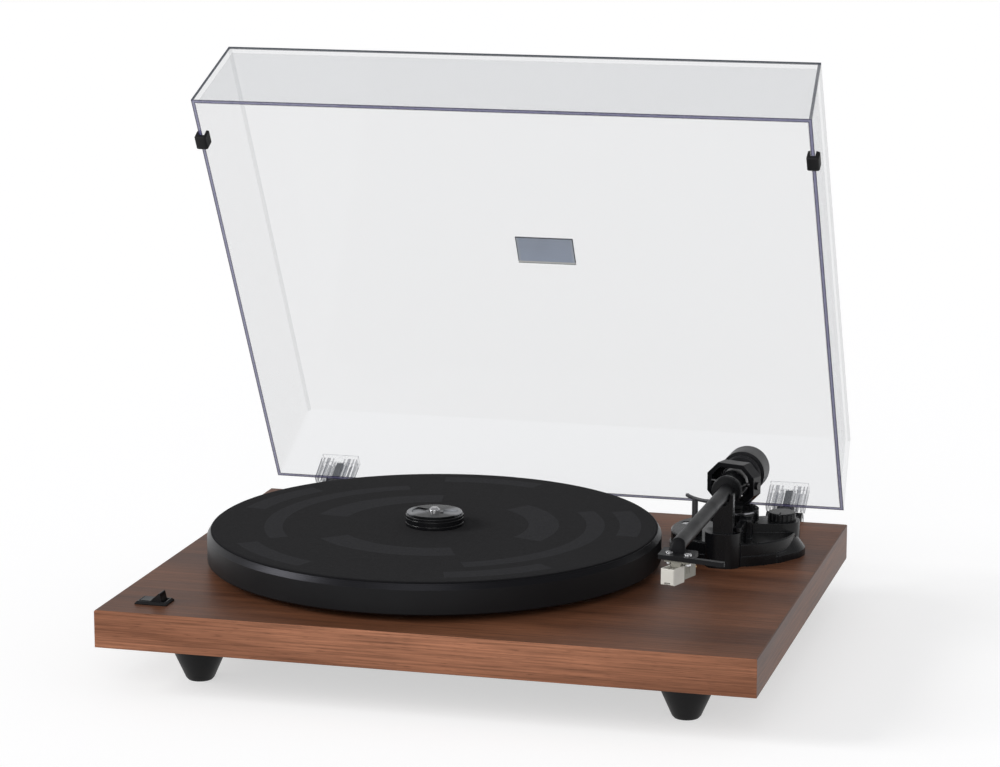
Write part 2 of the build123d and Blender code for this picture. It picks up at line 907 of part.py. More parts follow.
def make_circuit_board():
    """Preamplifier board held under the pocket's roof on four bosses."""
    top = skin_under - board_stand
    middle_y = terminal_pocket_front + 2.0 + board_depth / 2
    board = block(
        (panel_x - board_length / 2, panel_x + board_length / 2),
        (middle_y - board_depth / 2, middle_y + board_depth / 2),
        (top - board_thickness, top),
    )
    for x, y in corners_of(board_length / 2 - 4, board_depth / 2 - 4):
        board += disc(2.5, top, skin_under, panel_x + x, middle_y + y)
    for x, size, height in ((-24.0, 9.0, 5.0), (-8.0, 6.0, 3.0), (6.0, 7.0, 6.0), (22.0, 10.0, 4.0)):
        board += block(
            (panel_x + x - size / 2, panel_x + x + size / 2),
            (middle_y - size / 2, middle_y + size / 2),
            (top - board_thickness - height, top - board_thickness),
        )
    return board


# Dust cover, built closed and then swung open about its hinge
def open_cover(shape):
    swing = Pos(0, hinge_y, hinge_z) * Rot(-lid_open_angle, 0, 0) * Pos(0, -hinge_y, -hinge_z)
    return swing * shape


def lid_shell(inset, height):
    """Tapered box of the cover, set in from its outside by the wall."""
    bottom = Rectangle(lid_length - 2 * inset, lid_depth - 2 * inset)
    draft = degrees(atan2(lid_draft, lid_height))
    middle_y = lid_back - lid_depth / 2
    return Pos(0, middle_y, lid_rim_z) * extrude(bottom, height, taper=draft)


def make_dust_cover():
    return open_cover(lid_shell(0.0, lid_height) - lid_shell(lid_wall, lid_height - lid_wall))


def make_cover_sockets():
    """Clear ribbed sockets on the back wall, with a slot from below for the hinge arm."""
    sockets = []
    outside = lid_shell(0.0, lid_height)
    slot_front = socket_back - socket_wall - hinge_tongue - 2 * slip_fit
    for side in (-1, 1):
        middle = side * hinge_reach_x
        body = block(
            (middle - socket_width / 2, middle + socket_width / 2),
            (lid_back - lid_draft, socket_back - socket_rib),
            (lid_rim_z, lid_rim_z + socket_height),
        )
        for offset in (-2, -1, 0, 1, 2):
            rib_x = middle + offset * (socket_width - socket_rib_width) / 4
            body += block(
                (rib_x - socket_rib_width / 2, rib_x + socket_rib_width / 2),
                (socket_back - socket_rib - 0.5, socket_back),
                (lid_rim_z, lid_rim_z + socket_height),
            )
        body -= block(
            (
                middle - hinge_knuckle_width / 2 - slip_fit,
                middle + hinge_knuckle_width / 2 + slip_fit,
            ),
            (slot_front, slot_front + hinge_tongue + 2 * slip_fit),
            (lid_rim_z, lid_rim_z + socket_height - 2 * socket_wall),
        )
        body -= Pos(middle, hinge_y, hinge_z) * Rot(0, 90, 0) * Cylinder(
            hinge_radius + free_gap, socket_width + 1
        )
        sockets.append(open_cover(body - outside))
    return sockets


def make_hinge_arms():
    """Knuckle round the pin with the tongue that the cover's socket slides over."""
    arms = []
    tongue_back = socket_back - socket_wall - slip_fit
    tongue_front = tongue_back - hinge_tongue
    for side in (-1, 1):
        middle = side * hinge_reach_x
        half = hinge_knuckle_width / 2
        knuckle = Pos(middle, hinge_y, hinge_z) * Rot(0, 90, 0) * Cylinder(
            hinge_radius, hinge_knuckle_width
        )
        tongue = block(
            (middle - half, middle + half),
            (tongue_front, tongue_back),
            (hinge_z, lid_rim_z + socket_height - 3 * socket_wall),
        )
        arm = knuckle + tongue
        arm -= Pos(middle, hinge_y, hinge_z) * Rot(0, 90, 0) * Cylinder(
            hinge_pin_radius + running_fit, hinge_width
        )
        arms.append(open_cover(arm))
    return arms


def make_hinge_blocks():
    """Two-eared brackets screwed to the plinth's back."""
    blocks = []
    for side in (-1, 1):
        middle = side * hinge_reach_x
        half = hinge_width / 2
        ears = Pos(middle, hinge_y, hinge_z) * Rot(0, 90, 0) * Cylinder(hinge_radius, hinge_width)
        ears += block(
            (middle - half, middle + half),
            (plinth_back, hinge_y),
            (hinge_z - hinge_radius, hinge_z),
        )
        gap = hinge_knuckle_width / 2 + free_gap
        ears -= block(
            (middle - gap, middle + gap),
            (plinth_back, hinge_y + hinge_radius),
            (hinge_z - hinge_radius - free_gap, hinge_z + hinge_radius),
        )
        foot = block(
            (middle - half, middle + half),
            (plinth_back, plinth_back + hinge_foot_depth),
            (plinth_top - hinge_foot_drop, hinge_z - hinge_radius - free_gap),
        )
        foot = fillet(foot.edges().filter_by(Axis.X).group_by(Axis.Z)[0], 1.5)
        link = block(
            (middle - half, middle + half),
            (plinth_back, plinth_back + hinge_foot_depth),
            (hinge_z - hinge_radius - free_gap - 0.01, hinge_z - hinge_radius + 2),
        )
        link -= block(
            (middle - gap, middle + gap),
            (plinth_back, plinth_back + hinge_foot_depth + 1),
            (hinge_z - hinge_radius - free_gap, hinge_z),
        )
        ears -= Pos(middle, hinge_y, hinge_z) * Rot(0, 90, 0) * Cylinder(
            hinge_pin_radius, hinge_width + 1
        )
        bracket = ears + foot + link
        for level in hinge_screw_levels():
            hole = Pos(middle, plinth_back + hinge_foot_depth, level) * Rot(90, 0, 0)
            bracket -= hole * Cylinder(base_screw_radius + running_fit, hinge_foot_depth,
                                       align=STANDING)
        blocks.append(bracket)
    return blocks


def make_hinge_pins():
    return [
        Pos(side * hinge_reach_x, hinge_y, hinge_z) * Rot(0, 90, 0) * Cylinder(
            hinge_pin_radius - 0.01, hinge_width
        )
        for side in (-1, 1)
    ]


def make_hinge_screws():
    screws = []
    for side in (-1, 1):
        for level in hinge_screw_levels():
            face = plinth_back + hinge_foot_depth
            place = Pos(side * hinge_reach_x, face, level) * Rot(90, 0, 0)
            shank = Cylinder(base_screw_radius, hinge_foot_depth + base_screw_bite, align=STANDING)
            head = Cylinder(base_screw_head_radius, base_screw_head, align=HANGING)
            screws.append(place * (shank + head))
    return screws


def make_cover_bumpers():
    """Soft saddles over the side rims, which meet the plinth when the cover is shut."""
    bumpers = []
    rim = lid_length / 2
    middle = lid_back - bumper_from_back
    walls = lid_shell(0.0, lid_height) - lid_shell(lid_wall, lid_height - lid_wall)
    for side in (-1, 1):
        spans = sorted((side * (rim - bumper_grip), side * (rim + bumper_proud)))
        saddle = block(
            tuple(spans),
            (middle - bumper_length / 2, middle + bumper_length / 2),
            (plinth_top + running_fit, lid_rim_z + bumper_leg),
        )
        saddle = fillet(saddle.edges().filter_by(Axis.Y), 1.2)
        inner = sorted((side * (rim - bumper_grip), side * (rim - lid_wall - lid_draft / 2)))
        saddle -= block(
            tuple(inner),
            (middle - bumper_length, middle + bumper_length),
            (lid_rim_z + 3.5, lid_rim_z + bumper_leg + 1),
        )
        bumpers.append(open_cover(saddle - walls))
    return bumpers


def make_cover_badge():
    """Blank plate on the outside of the cover's top."""
    top = lid_rim_z + lid_height
    plate = block(
        (badge_x - badge_length / 2, badge_x + badge_length / 2),
        (
            lid_back - badge_from_back - badge_width / 2,
            lid_back - badge_from_back + badge_width / 2,
        ),
        (top, top + badge_thickness),
    )
    plate = chamfer(plate.edges().group_by(Axis.Z)[-1], 0.5)
    return open_cover(plate)


# Tonearm base
def around_pivot(radius, angle):
    """Point at an angle from the front, measured towards the platter."""
    return (
        pivot_x - radius * sin(radians(angle)),
        pivot_y - radius * cos(radians(angle)),
    )


def make_tonearm_base():
    """Moulded base: round platform, front pillar, and the lobe that carries the knob."""
    z = plinth_top
    outline = [
        (0, z),
        (base_radius, z),
        (base_radius, z + base_skirt_top),
        (base_radius - base_step, z + base_skirt_top),
        (base_radius - base_step, z + base_top - base_edge),
        (base_radius - base_step - base_edge, z + base_top),
        (0, z + base_top),
    ]
    body = turned(outline, pivot_x, pivot_y)

    half = pillar_half_width
    back = pivot_y - base_radius + 10.0
    pillar = Rectangle(2 * half, back - pillar_front_y, align=(Align.CENTER, Align.MIN))
    pillar = fillet(pillar.vertices().group_by(Axis.Y)[0], pillar_corner)
    body += Pos(rest_x, pillar_front_y, z) * extrude(pillar, pillar_top)

    tip = (lobe_tip_x, lobe_tip_y, 2.0)
    skirt = hull((lobe_x, lobe_y, lobe_radius), tip)
    body += Pos(0, 0, z) * extrude(skirt, lobe_skirt)
    shoulder_height = lobe_shoulder - lobe_skirt
    flare = Pos(0, 0, z + lobe_skirt) * extrude(skirt, shoulder_height, taper=38)
    body += flare
    drum = hull((pivot_x + 3, pivot_y, drum_small_radius), (knob_x, knob_y, drum_large_radius))
    body += Pos(0, 0, z) * extrude(drum, lobe_top)

    lift_x, lift_y = around_pivot(lift_radius, lift_post_angle)
    body += disc(lift_boss_radius, z + base_top, z + lift_boss_top, lift_x, lift_y)
    body -= disc(lift_post_radius + running_fit, z + lift_post_foot - lift_travel - 1,
                 z + lift_boss_top, lift_x, lift_y)

    lug_inner = lever_x + lever_width / 2 + free_gap
    lug = block(
        (lug_inner, lug_inner + lever_lug_width),
        (lever_pivot_y - lever_boss_radius, lever_pivot_y + lever_boss_radius),
        (z + base_top - 1, z + lever_pivot_rise),
    )
    lug += Pos(lug_inner + lever_lug_width / 2, lever_pivot_y, z + lever_pivot_rise) * Rot(
        0, 90, 0
    ) * Cylinder(lever_boss_radius, lever_lug_width)
    lug -= Pos(lug_inner, lever_pivot_y, z + lever_pivot_rise) * Rot(0, 90, 0) * Cylinder(
        lever_pin_radius + running_fit, 2 * lever_lug_width + 2
    )
    body -= block(
        (lever_x - lever_width / 2 - free_gap, lug_inner),
        (lever_pivot_y - lever_boss_radius - 1, lever_pivot_y + lever_boss_radius + 1),
        (z + lever_pivot_rise - lever_boss_radius - 1, z + base_top + 20),
    )
    body += lug
    body -= disc(yaw_shaft_radius + 1, z + 6, z + lobe_top + 1, pivot_x, pivot_y)
    body -= disc(knob_shaft_radius + running_fit, z + lobe_top - knob_shaft_depth - 1,
                 z + lobe_top, knob_x, knob_y)
    for x, y in base_screw_places():
        body -= disc(base_screw_radius + running_fit, z, z + base_top, x, y)
        body -= disc(base_screw_head_radius + slip_fit, z + base_top - base_screw_head - 0.4,
                     z + base_top, x, y)
    return body


def make_base_screws():
    seat = plinth_top + base_top - base_screw_head - 0.4
    return [
        disc(base_screw_head_radius, seat, seat + base_screw_head, x, y)
        + disc(base_screw_radius, plinth_top - base_screw_bite, seat, x, y)
        for x, y in base_screw_places()
    ]


def make_pivot_collar():
    """Collar that holds the upright bearing of the arm."""
    z = plinth_top
    bore = yaw_shaft_radius + running_fit
    outline = [
        (bore, z + lobe_top),
        (collar_foot_radius - 4.2, z + lobe_top),
        (collar_foot_radius - 4.2, z + lobe_top + 0.6),
        (collar_radius - 0.8, z + lobe_top + 0.6),
        (collar_radius, z + lobe_top + 1.4),
        (collar_radius, z + collar_top - collar_trim),
        (collar_radius - collar_trim_wall, z + collar_top - collar_trim),
        (collar_radius - collar_trim_wall, z + collar_top),
        (bore, z + collar_top),
    ]
    collar = turned(outline, pivot_x, pivot_y)
    return collar


def make_collar_trim():
    """Bright ring let into the collar's upper edge."""
    z = plinth_top
    ring = disc(collar_radius, z + collar_top - collar_trim, z + collar_top, pivot_x, pivot_y)
    return ring - disc(collar_radius - collar_trim_wall, z + collar_top - collar_trim,
                       z + collar_top, pivot_x, pivot_y)


def make_arm_rest():
    """Cradle on the pillar: a low lip towards the platter and a tall one outside."""
    z = plinth_top
    left = rest_x - rest_width / 2
    right = rest_x + rest_hollow + free_gap + rest_outer_wall
    spans_y = (rest_y - rest_depth / 2, rest_y + rest_depth / 2)
    stand = block((left, right), spans_y, (z + pillar_top, z + rest_outer_top))
    hollow_z = z + rest_floor + rest_hollow
    stand -= Pos(rest_x, rest_y, hollow_z) * Rot(90, 0, 0) * Cylinder(rest_hollow, rest_depth + 2)
    stand -= block(
        (rest_x, rest_x + rest_hollow), (spans_y[0] - 1, spans_y[1] + 1),
        (hollow_z, z + rest_outer_top + 1)
    )
    stand -= block(
        (left - 1, rest_x), (spans_y[0] - 1, spans_y[1] + 1),
        (z + rest_inner_top, z + rest_outer_top + 1)
    )
    outer_edge = stand.edges().filter_by(Axis.Y).group_by(Axis.Z)[-1]
    return fillet(outer_edge, 0.8)


# Cue lift and lever
def make_cue_lift():
    """Curved bar under the arm on a post that slides in the base."""
    z_top = plinth_top + lift_top
    section = Rectangle(lift_bar_width, lift_bar_height)
    section = fillet(section.vertices(), 0.7)
    profile = Plane.XZ * (Pos(lift_radius, -lift_bar_height / 2) * section)
    sweep_angle = lift_first_angle - lift_last_angle
    bar = revolve(profile, Axis.Z, sweep_angle)
    bar = Rot(0, 0, -90.0 - lift_first_angle) * bar
    bar = Pos(pivot_x, pivot_y, z_top) * bar
    x, y = around_pivot(lift_radius, lift_post_angle)
    post = disc(lift_post_radius, plinth_top + lift_post_foot, z_top - lift_bar_height / 2, x, y)
    return bar + post


def make_cue_lever():
    """Flat finger lever on a cross pin at the right of the rest."""
    pivot_z = plinth_top + lever_pivot_rise
    front_z = plinth_top + lever_front_rise
    rise = degrees(atan2(front_z - pivot_z, lever_pivot_y - lever_front_y))
    length = hypot(front_z - pivot_z, lever_pivot_y - lever_front_y)
    boss = Rot(0, 90, 0) * Cylinder(lever_boss_radius, lever_width)
    bar = Pos(0, -length / 2, 0) * Box(lever_width, length, lever_thickness)
    bar = fillet(bar.edges().filter_by(Axis.Z).group_by(Axis.Y)[0], lever_width / 2 - 0.1)
    pin = Pos(lever_width / 2 + lever_lug_width / 2, 0, 0) * Rot(0, 90, 0) * Cylinder(
        lever_pin_radius, lever_lug_width + 2 * free_gap
    )
    lever = boss + bar + pin
    return Pos(lever_x, lever_pivot_y, pivot_z) * Rot(-rise, 0, 0) * lever


def make_anti_skate_knob():
    """Fluted knob with a pointer groove, on a shaft in the lobe."""
    bottom = plinth_top + lobe_top
    top = bottom + knob_height
    knob = disc(knob_radius, bottom + running_fit, top, knob_x, knob_y)
    knob = chamfer(knob.edges().group_by(Axis.Z)[-1], 0.8)
    for index in range(knob_flutes):
        angle = radians(index * 360.0 / knob_flutes)
        x = knob_x + knob_radius * cos(angle)
        y = knob_y + knob_radius * sin(angle)
        knob -= disc(knob_flute_radius, bottom, top + 1, x, y)
    knob -= block((knob_x - 0.5, knob_x + 0.5), (knob_y - knob_radius, knob_y - 3),
                  (top - 0.6, top + 1))
    return knob + disc(knob_shaft_radius, bottom - knob_shaft_depth, bottom + 1, knob_x, knob_y)


# Arm frames: local X to the arm's right, local Y up, local Z towards the headshell
def arm_plane():
    outward = radians(park_outward)
    raised = radians(park_raise)
    forward = Vector(
        sin(outward) * cos(raised), -cos(outward) * cos(raised), sin(raised)
    )
    return Plane(origin=pivot, x_dir=(cos(outward), sin(outward), 0), z_dir=forward)


def head_plane():
    """Frame at the stylus's station, turned inwards by the offset angle."""
    arm = arm_plane()
    turned_in = radians(head_turn)
    forward = arm.z_dir * cos(turned_in) - arm.x_dir * sin(turned_in)
    right = arm.x_dir * cos(turned_in) + arm.z_dir * sin(turned_in)
    return Plane(origin=pivot + arm.z_dir * effective_length, x_dir=right, z_dir=forward)


def gimbal_plane():
    """Frame of the gimbal: local X along the pitch axis, local Z out of its front."""
    angle = radians(gimbal_turn)
    return Plane(
        origin=pivot, x_dir=(cos(angle), -sin(angle), 0), z_dir=(-sin(angle), -cos(angle), 0)
    )


def along(radius, start, end):
    """Cylinder on the local Z axis between two stations."""
    return Pos(0, 0, min(start, end)) * Cylinder(radius, abs(end - start), align=STANDING)


def make_gimbal_ring():
    """Eight-sided yoke round the arm, on the neck and shaft that turn in the collar."""
    def octagon(inset):
        shape = Rectangle(gimbal_width - 2 * inset, gimbal_height - 2 * inset)
        cut = gimbal_corner - inset * (2 - 2 ** 0.5)
        return chamfer(shape.vertices(), cut)

    ring = extrude(octagon(0.0) - octagon(gimbal_wall), gimbal_depth / 2, both=True)
    for side in (-1, 1):
        ring -= Pos(side * gimbal_width / 2, 0, 0) * Rot(0, 90, 0) * Cylinder(
            gimbal_pin_radius + 0.01, 3 * gimbal_wall
        )
    ring = gimbal_plane() * ring
    ring_bottom = pivot.Z - gimbal_height / 2
    neck_bottom = plinth_top + collar_top + free_gap
    neck = disc(gimbal_neck_radius, neck_bottom, ring_bottom + 1, pivot_x, pivot_y)
    shaft = disc(yaw_shaft_radius, neck_bottom - yaw_shaft_depth, neck_bottom, pivot_x, pivot_y)
    return ring + neck + shaft


def make_gimbal_pins():
    """Pivot screws through the yoke's sides into the arm's bearing housing."""
    pins = []
    for side in (-1, 1):
        stem = along(gimbal_pin_radius, gimbal_pin_reach, gimbal_width / 2 + 0.6)
        head = along(gimbal_pin_head_radius, gimbal_width / 2, gimbal_width / 2 + 1.4)
        pins.append(gimbal_plane() * Rot(0, side * 90, 0) * (stem + head))
    return pins


def make_arm_housing():
    """Round bearing housing with a front flange that grips the tube."""
    front_flange = housing_front - housing_flange
    outline = [
        (0, housing_back),
        (housing_radius - 1, housing_back),
        (housing_radius, housing_back + 1),
        (housing_radius, front_flange),
        (housing_flange_radius - 0.6, front_flange),
        (housing_flange_radius, front_flange + 0.6),
        (housing_flange_radius, housing_front - 0.6),
        (housing_flange_radius - 0.6, housing_front),
        (0, housing_front),
    ]
    body = turned(outline)
    body -= along(tube_radius + 0.01, tube_seat, housing_front)
    body -= along(stub_radius + 0.01, housing_back, housing_back + 6)
    body = arm_plane() * body
    for side in (-1, 1):
        body -= gimbal_plane() * Rot(0, side * 90, 0) * along(
            gimbal_pin_radius + running_fit, gimbal_pin_reach - 0.2, housing_radius + 3
        )
    return body


def make_arm_tube():
    tube = along(tube_radius, tube_seat, tube_end) - along(tube_bore_radius, tube_seat, tube_end)
    return arm_plane() * tube


def make_weight_stub():
    """Threaded stub behind the housing."""
    stub = along(stub_radius, stub_end, housing_back + 6)
    stub = chamfer(stub.edges().group_by(Axis.Z)[0], 0.6)
    return arm_plane() * stub


def make_weight_sleeve():
    """Sleeve inside the counterweight that travels along the stub's thread."""
    sleeve = along(sleeve_radius, sleeve_back, sleeve_front)
    return arm_plane() * (sleeve - along(stub_radius + running_fit, sleeve_back, sleeve_front))


def make_counterweight():
    """Rounded weight with a bore for the sleeve and a closed-down back."""
    outline_face = make_face(
        Polyline((0, weight_back), (weight_radius, weight_back),
                 (weight_radius, weight_front), (0, weight_front), close=True)
    )
    body = revolve(Plane.XZ * outline_face, Axis.Z)
    body = fillet(body.edges().filter_by(GeomType.CIRCLE).group_by(Axis.Z)[0], weight_round)
    body -= along(sleeve_radius + running_fit, sleeve_back, weight_front)
    body -= along(stub_radius + free_gap, weight_back + 3, sleeve_back)
    return arm_plane() * body


def make_force_dial():
    """Numbered ring in front of the weight, fluted round its edge."""
    ring = along(dial_radius, weight_front, dial_front)
    ring = chamfer(ring.edges().group_by(Axis.Z)[-1], 0.8)
    for index in range(dial_flutes):
        angle = radians(index * 360.0 / dial_flutes)
        place = Pos(dial_radius * cos(angle), dial_radius * sin(angle), 0)
        ring -= place * along(dial_flute_radius, weight_front, weight_front + 2.4)
    return arm_plane() * (ring - along(stub_radius + free_gap, weight_front, dial_front))


def head_slab(sketch, top, thickness):
    """Level slab in the head frame, from a plan drawn as local X and Z."""
    plan = Plane(origin=(0, top, 0), x_dir=(1, 0, 0), z_dir=(0, -1, 0))
    return extrude(plan * sketch, thickness)


def cartridge_screw_spots(top):
    """The two mounting screws' places in the head frame, at a height."""
    return [
        Pos(side * cartridge_screw_spacing / 2, top, cartridge_screw_line) * Rot(90, 0, 0)
        for side in (-1, 1)
    ]


def make_headshell():
    """Plate with sides along the tube and slanted ends, a finger lift and a tube socket."""
    slant = head_length * tan(radians(head_turn))
    back = head_front - head_length
    sides = Polyline(
        (head_left, head_front),
        (head_right, head_front),
        (head_right - slant, back),
        (head_left - slant, back),
        close=True,
    )
    outline = fillet(make_face(sides).vertices(), head_corner)
    finger = Pos((finger_reach + head_right) / 2, head_front - finger_width / 2) * Rectangle(
        finger_reach - head_right + 2 * head_corner + 2, finger_width
    )
    finger = fillet(finger.vertices(), head_corner - 0.2)
    plate = head_slab(outline + finger, head_plate_top, head_plate_thickness)
    for spot in cartridge_screw_spots(head_plate_top):
        plate -= spot * Cylinder(cartridge_screw_radius + slip_fit, 3 * head_plate_thickness)
    socket = along(head_socket_radius, tube_end - head_socket_length, tube_end + 2)
    shell = head_plane() * plate + arm_plane() * socket
    return shell - arm_plane() * along(tube_radius + 0.01, 0, tube_end)


def make_cartridge_screws():
    """Slotted screws down through the plate, with nuts under the cartridge's ears."""
    ear_under = head_plate_top - head_plate_thickness - ear_thickness
    grip = head_plate_thickness + ear_thickness + cartridge_nut + 0.4
    pieces = []
    for spot in cartridge_screw_spots(head_plate_top):
        head = Cylinder(cartridge_screw_head_radius, cartridge_screw_head, align=HANGING)
        head = chamfer(head.edges().group_by(Axis.Z)[0], 0.3)
        head -= Pos(0, 0, -cartridge_screw_head) * Box(0.7, 6, 1.2)
        screw = head + Cylinder(cartridge_screw_radius, grip, align=STANDING)
        pieces.append(head_plane() * spot * screw)
    for spot in cartridge_screw_spots(ear_under):
        nut = Cylinder(cartridge_nut_radius, cartridge_nut, align=STANDING)
        nut -= Cylinder(cartridge_screw_radius + 0.01, cartridge_nut, align=STANDING)
        pieces.append(head_plane() * spot * nut)
    return pieces


def make_cartridge_body():
    """Cartridge block hung from its two mounting ears."""
    ear_top = head_plate_top - head_plate_thickness
    ear_front = cartridge_screw_line + ear_depth / 2
    half = cartridge_width / 2
    ears = Pos(0, cartridge_screw_line) * Rectangle(ear_width, ear_depth)
    ears = fillet(ears.vertices(), 1.5)
    body = head_slab(ears, ear_top, ear_thickness)
    body += block((-half, half), (cartridge_bottom, ear_top), (cartridge_back, guard_back - 0.1))
    neck = block((-half + 1.0, half - 1.0), (guard_top - 1, ear_top), (guard_back - 1, ear_front))
    body += neck
    for spot in cartridge_screw_spots(ear_top):
        body -= spot * Cylinder(cartridge_screw_radius + slip_fit, 3 * ear_thickness)
    for side in (-1, 1):
        for index in range(3):
            station = guard_back - 3.0 - index * 2.2
            body -= block(
                (side * half - 0.25, side * half + 0.25),
                (cartridge_bottom + 3.0, guard_top - 1.5),
                (station - 0.5, station + 0.5),
            )
    return head_plane() * body


def make_cartridge_terminals():
    """Four pins out of the cartridge's back."""
    pins = []
    for x in (-2.0, 2.0):
        for y in (guard_top - 1.0, guard_top - 4.5):
            pin = Pos(x, y, cartridge_back - terminal_length)
            pins.append(head_plane() * pin * Cylinder(terminal_radius, terminal_length,
                                                      align=STANDING))
    return pins


def make_stylus():
    """Replaceable stylus block with its cantilever and pointed tip."""
    front = -2.5
    half = cartridge_width / 2 - 1.2
    holder = block((-half, half), (stylus_height + 2.6, guard_top - 1.2), (guard_back - 0.1, front))
    holder = chamfer(holder.edges().group_by(Axis.Z)[-1].group_by(Axis.Y)[0], 1.0)
    drop = 1.2
    reach = -front + 0.4
    arm = Rot(degrees(atan2(drop, reach)), 0, 0) * Cylinder(
        cantilever_radius, hypot(drop, reach) + 1.6
    )
    cantilever = Pos(0, stylus_height + 1.9, front / 2) * arm
    tip = Pos(0, stylus_height, 0) * Rot(-90, 0, 0) * Cone(0.08, 0.3, 1.7, align=STANDING)
    return head_plane() * (holder + cantilever + tip)


def make_stylus_guard():
    """Cup that slides on from the front over the stylus, open above and behind."""
    half = guard_width / 2
    cup = block((-half, half), (guard_bottom, guard_top), (guard_back, guard_front))
    cup = chamfer(cup.edges().group_by(Axis.Z)[-1], 0.5)
    cup -= block(
        (-half + guard_wall, half - guard_wall),
        (guard_bottom + guard_wall - 0.2, guard_top + 1),
        (guard_back - 1, guard_front - guard_wall),
    )
    cup -= block(
        (-guard_notch_width / 2, guard_notch_width / 2),
        (guard_bottom - 1, guard_bottom + guard_notch_height),
        (guard_front - guard_wall - 0.5, guard_front + 1),
    )
    return head_plane() * cup


node_makers = {
    "plinth": make_plinth,
    "feet": make_feet,
    "foot_screws": make_foot_screws,
    "bottom_cover": make_bottom_cover,
    "cover_screws": make_cover_screws,
    "bearing_housing": make_bearing_housing,
    "bearing_bush": make_bearing_bush,
    "thrust_ball": make_thrust_ball,
    "spindle": make_spindle,
    "platter": make_platter,
    "platter_mat": make_platter_mat,
    "motor_body": make_motor_body,
    "motor_bracket": make_motor_bracket,
    "motor_grommets": make_motor_grommets,
    "motor_screws": make_motor_screws,
    "motor_pulley": make_motor_pulley,
    "drive_belt": make_drive_belt,
    "adapter_body": make_adapter_body,
    "adapter_cap": make_adapter_cap,
    "rocker_housing": make_rocker_housing,
    "power_rocker": make_power_rocker,
    "rear_panel": make_rear_panel,
    "rca_jacks": make_rca_jacks,
    "ground_post": make_ground_post,
    "ground_nut": make_ground_nut,
    "output_switch": make_output_switch,
    "output_knob": make_output_knob,
    "power_inlet": make_power_inlet,
    "circuit_board": make_circuit_board,
    "dust_cover": make_dust_cover,
    "cover_sockets": make_cover_sockets,
    "hinge_arms": make_hinge_arms,
    "hinge_blocks": make_hinge_blocks,
    "hinge_pins": make_hinge_pins,
    "hinge_screws": make_hinge_screws,
    "cover_bumpers": make_cover_bumpers,
    "cover_badge": make_cover_badge,
    "tonearm_base": make_tonearm_base,
    "base_screws": make_base_screws,
    "pivot_collar": make_pivot_collar,
    "collar_trim": make_collar_trim,
    "arm_rest": make_arm_rest,
    "cue_lift": make_cue_lift,
    "cue_lever": make_cue_lever,
    "anti_skate_knob": make_anti_skate_knob,
    "gimbal_ring": make_gimbal_ring,
    "gimbal_pins": make_gimbal_pins,
    "arm_housing": make_arm_housing,
    "arm_tube": make_arm_tube,
    "weight_stub": make_weight_stub,
    "weight_sleeve": make_weight_sleeve,
    "counterweight": make_counterweight,
    "force_dial": make_force_dial,
    "headshell": make_headshell,
    "cartridge_screws": make_cartridge_screws,
    "cartridge_body": make_cartridge_body,
    "cartridge_terminals": make_cartridge_terminals,
    "stylus": make_stylus,
    "stylus_guard": make_stylus_guard,
}

for name, maker in node_makers.items():
    made = maker()
    save(name, *(made if isinstance(made, list) else [made]))
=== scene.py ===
# %% [markdown]
# # Dressing a belt-driven record player
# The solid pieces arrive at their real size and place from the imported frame. This lesson gives
# each of them the finish of the real thing, adds the soft mat and the small turned details that
# belong to looks alone, and then sets the lamps and the camera of a plain white studio.

# %% Load the frame
import json
import math

import bmesh
import bpy
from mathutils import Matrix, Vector, noise


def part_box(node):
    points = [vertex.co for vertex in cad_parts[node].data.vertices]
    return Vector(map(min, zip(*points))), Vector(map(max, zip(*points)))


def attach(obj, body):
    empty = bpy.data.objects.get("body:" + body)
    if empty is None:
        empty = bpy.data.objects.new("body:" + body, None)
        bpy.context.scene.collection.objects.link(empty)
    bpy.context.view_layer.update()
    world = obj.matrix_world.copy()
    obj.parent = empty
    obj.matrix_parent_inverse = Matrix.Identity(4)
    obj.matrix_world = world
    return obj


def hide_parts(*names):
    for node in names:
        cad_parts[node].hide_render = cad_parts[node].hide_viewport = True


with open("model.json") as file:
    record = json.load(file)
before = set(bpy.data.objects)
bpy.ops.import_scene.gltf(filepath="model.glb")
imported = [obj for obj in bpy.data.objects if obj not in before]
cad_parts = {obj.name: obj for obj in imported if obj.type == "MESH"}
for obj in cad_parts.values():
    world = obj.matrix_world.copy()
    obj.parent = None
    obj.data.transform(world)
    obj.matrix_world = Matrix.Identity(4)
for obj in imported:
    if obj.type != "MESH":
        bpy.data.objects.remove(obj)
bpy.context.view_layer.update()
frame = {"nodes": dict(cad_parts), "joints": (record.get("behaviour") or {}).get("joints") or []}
nodes = frame["nodes"]
print("solid pieces from the frame:", len(nodes))


# %% [markdown]
# ## Places
# Nothing here is measured twice. Where a finish or a new piece needs a place, such as the
# platter's axis or the cover's hinge line, it is read from the frame, so the looks follow the
# solids when a size changes.

# %% Places read from the frame
def middle(node):
    low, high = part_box(node)
    return (low + high) / 2


def joint_named(name):
    return next(joint for joint in frame["joints"] if joint["name"] == name)


def corners_from(node, origin=Vector()):
    """The corners of a solid, counted from a place."""
    return [Vector(corner.co) - origin for corner in nodes[node].data.vertices]


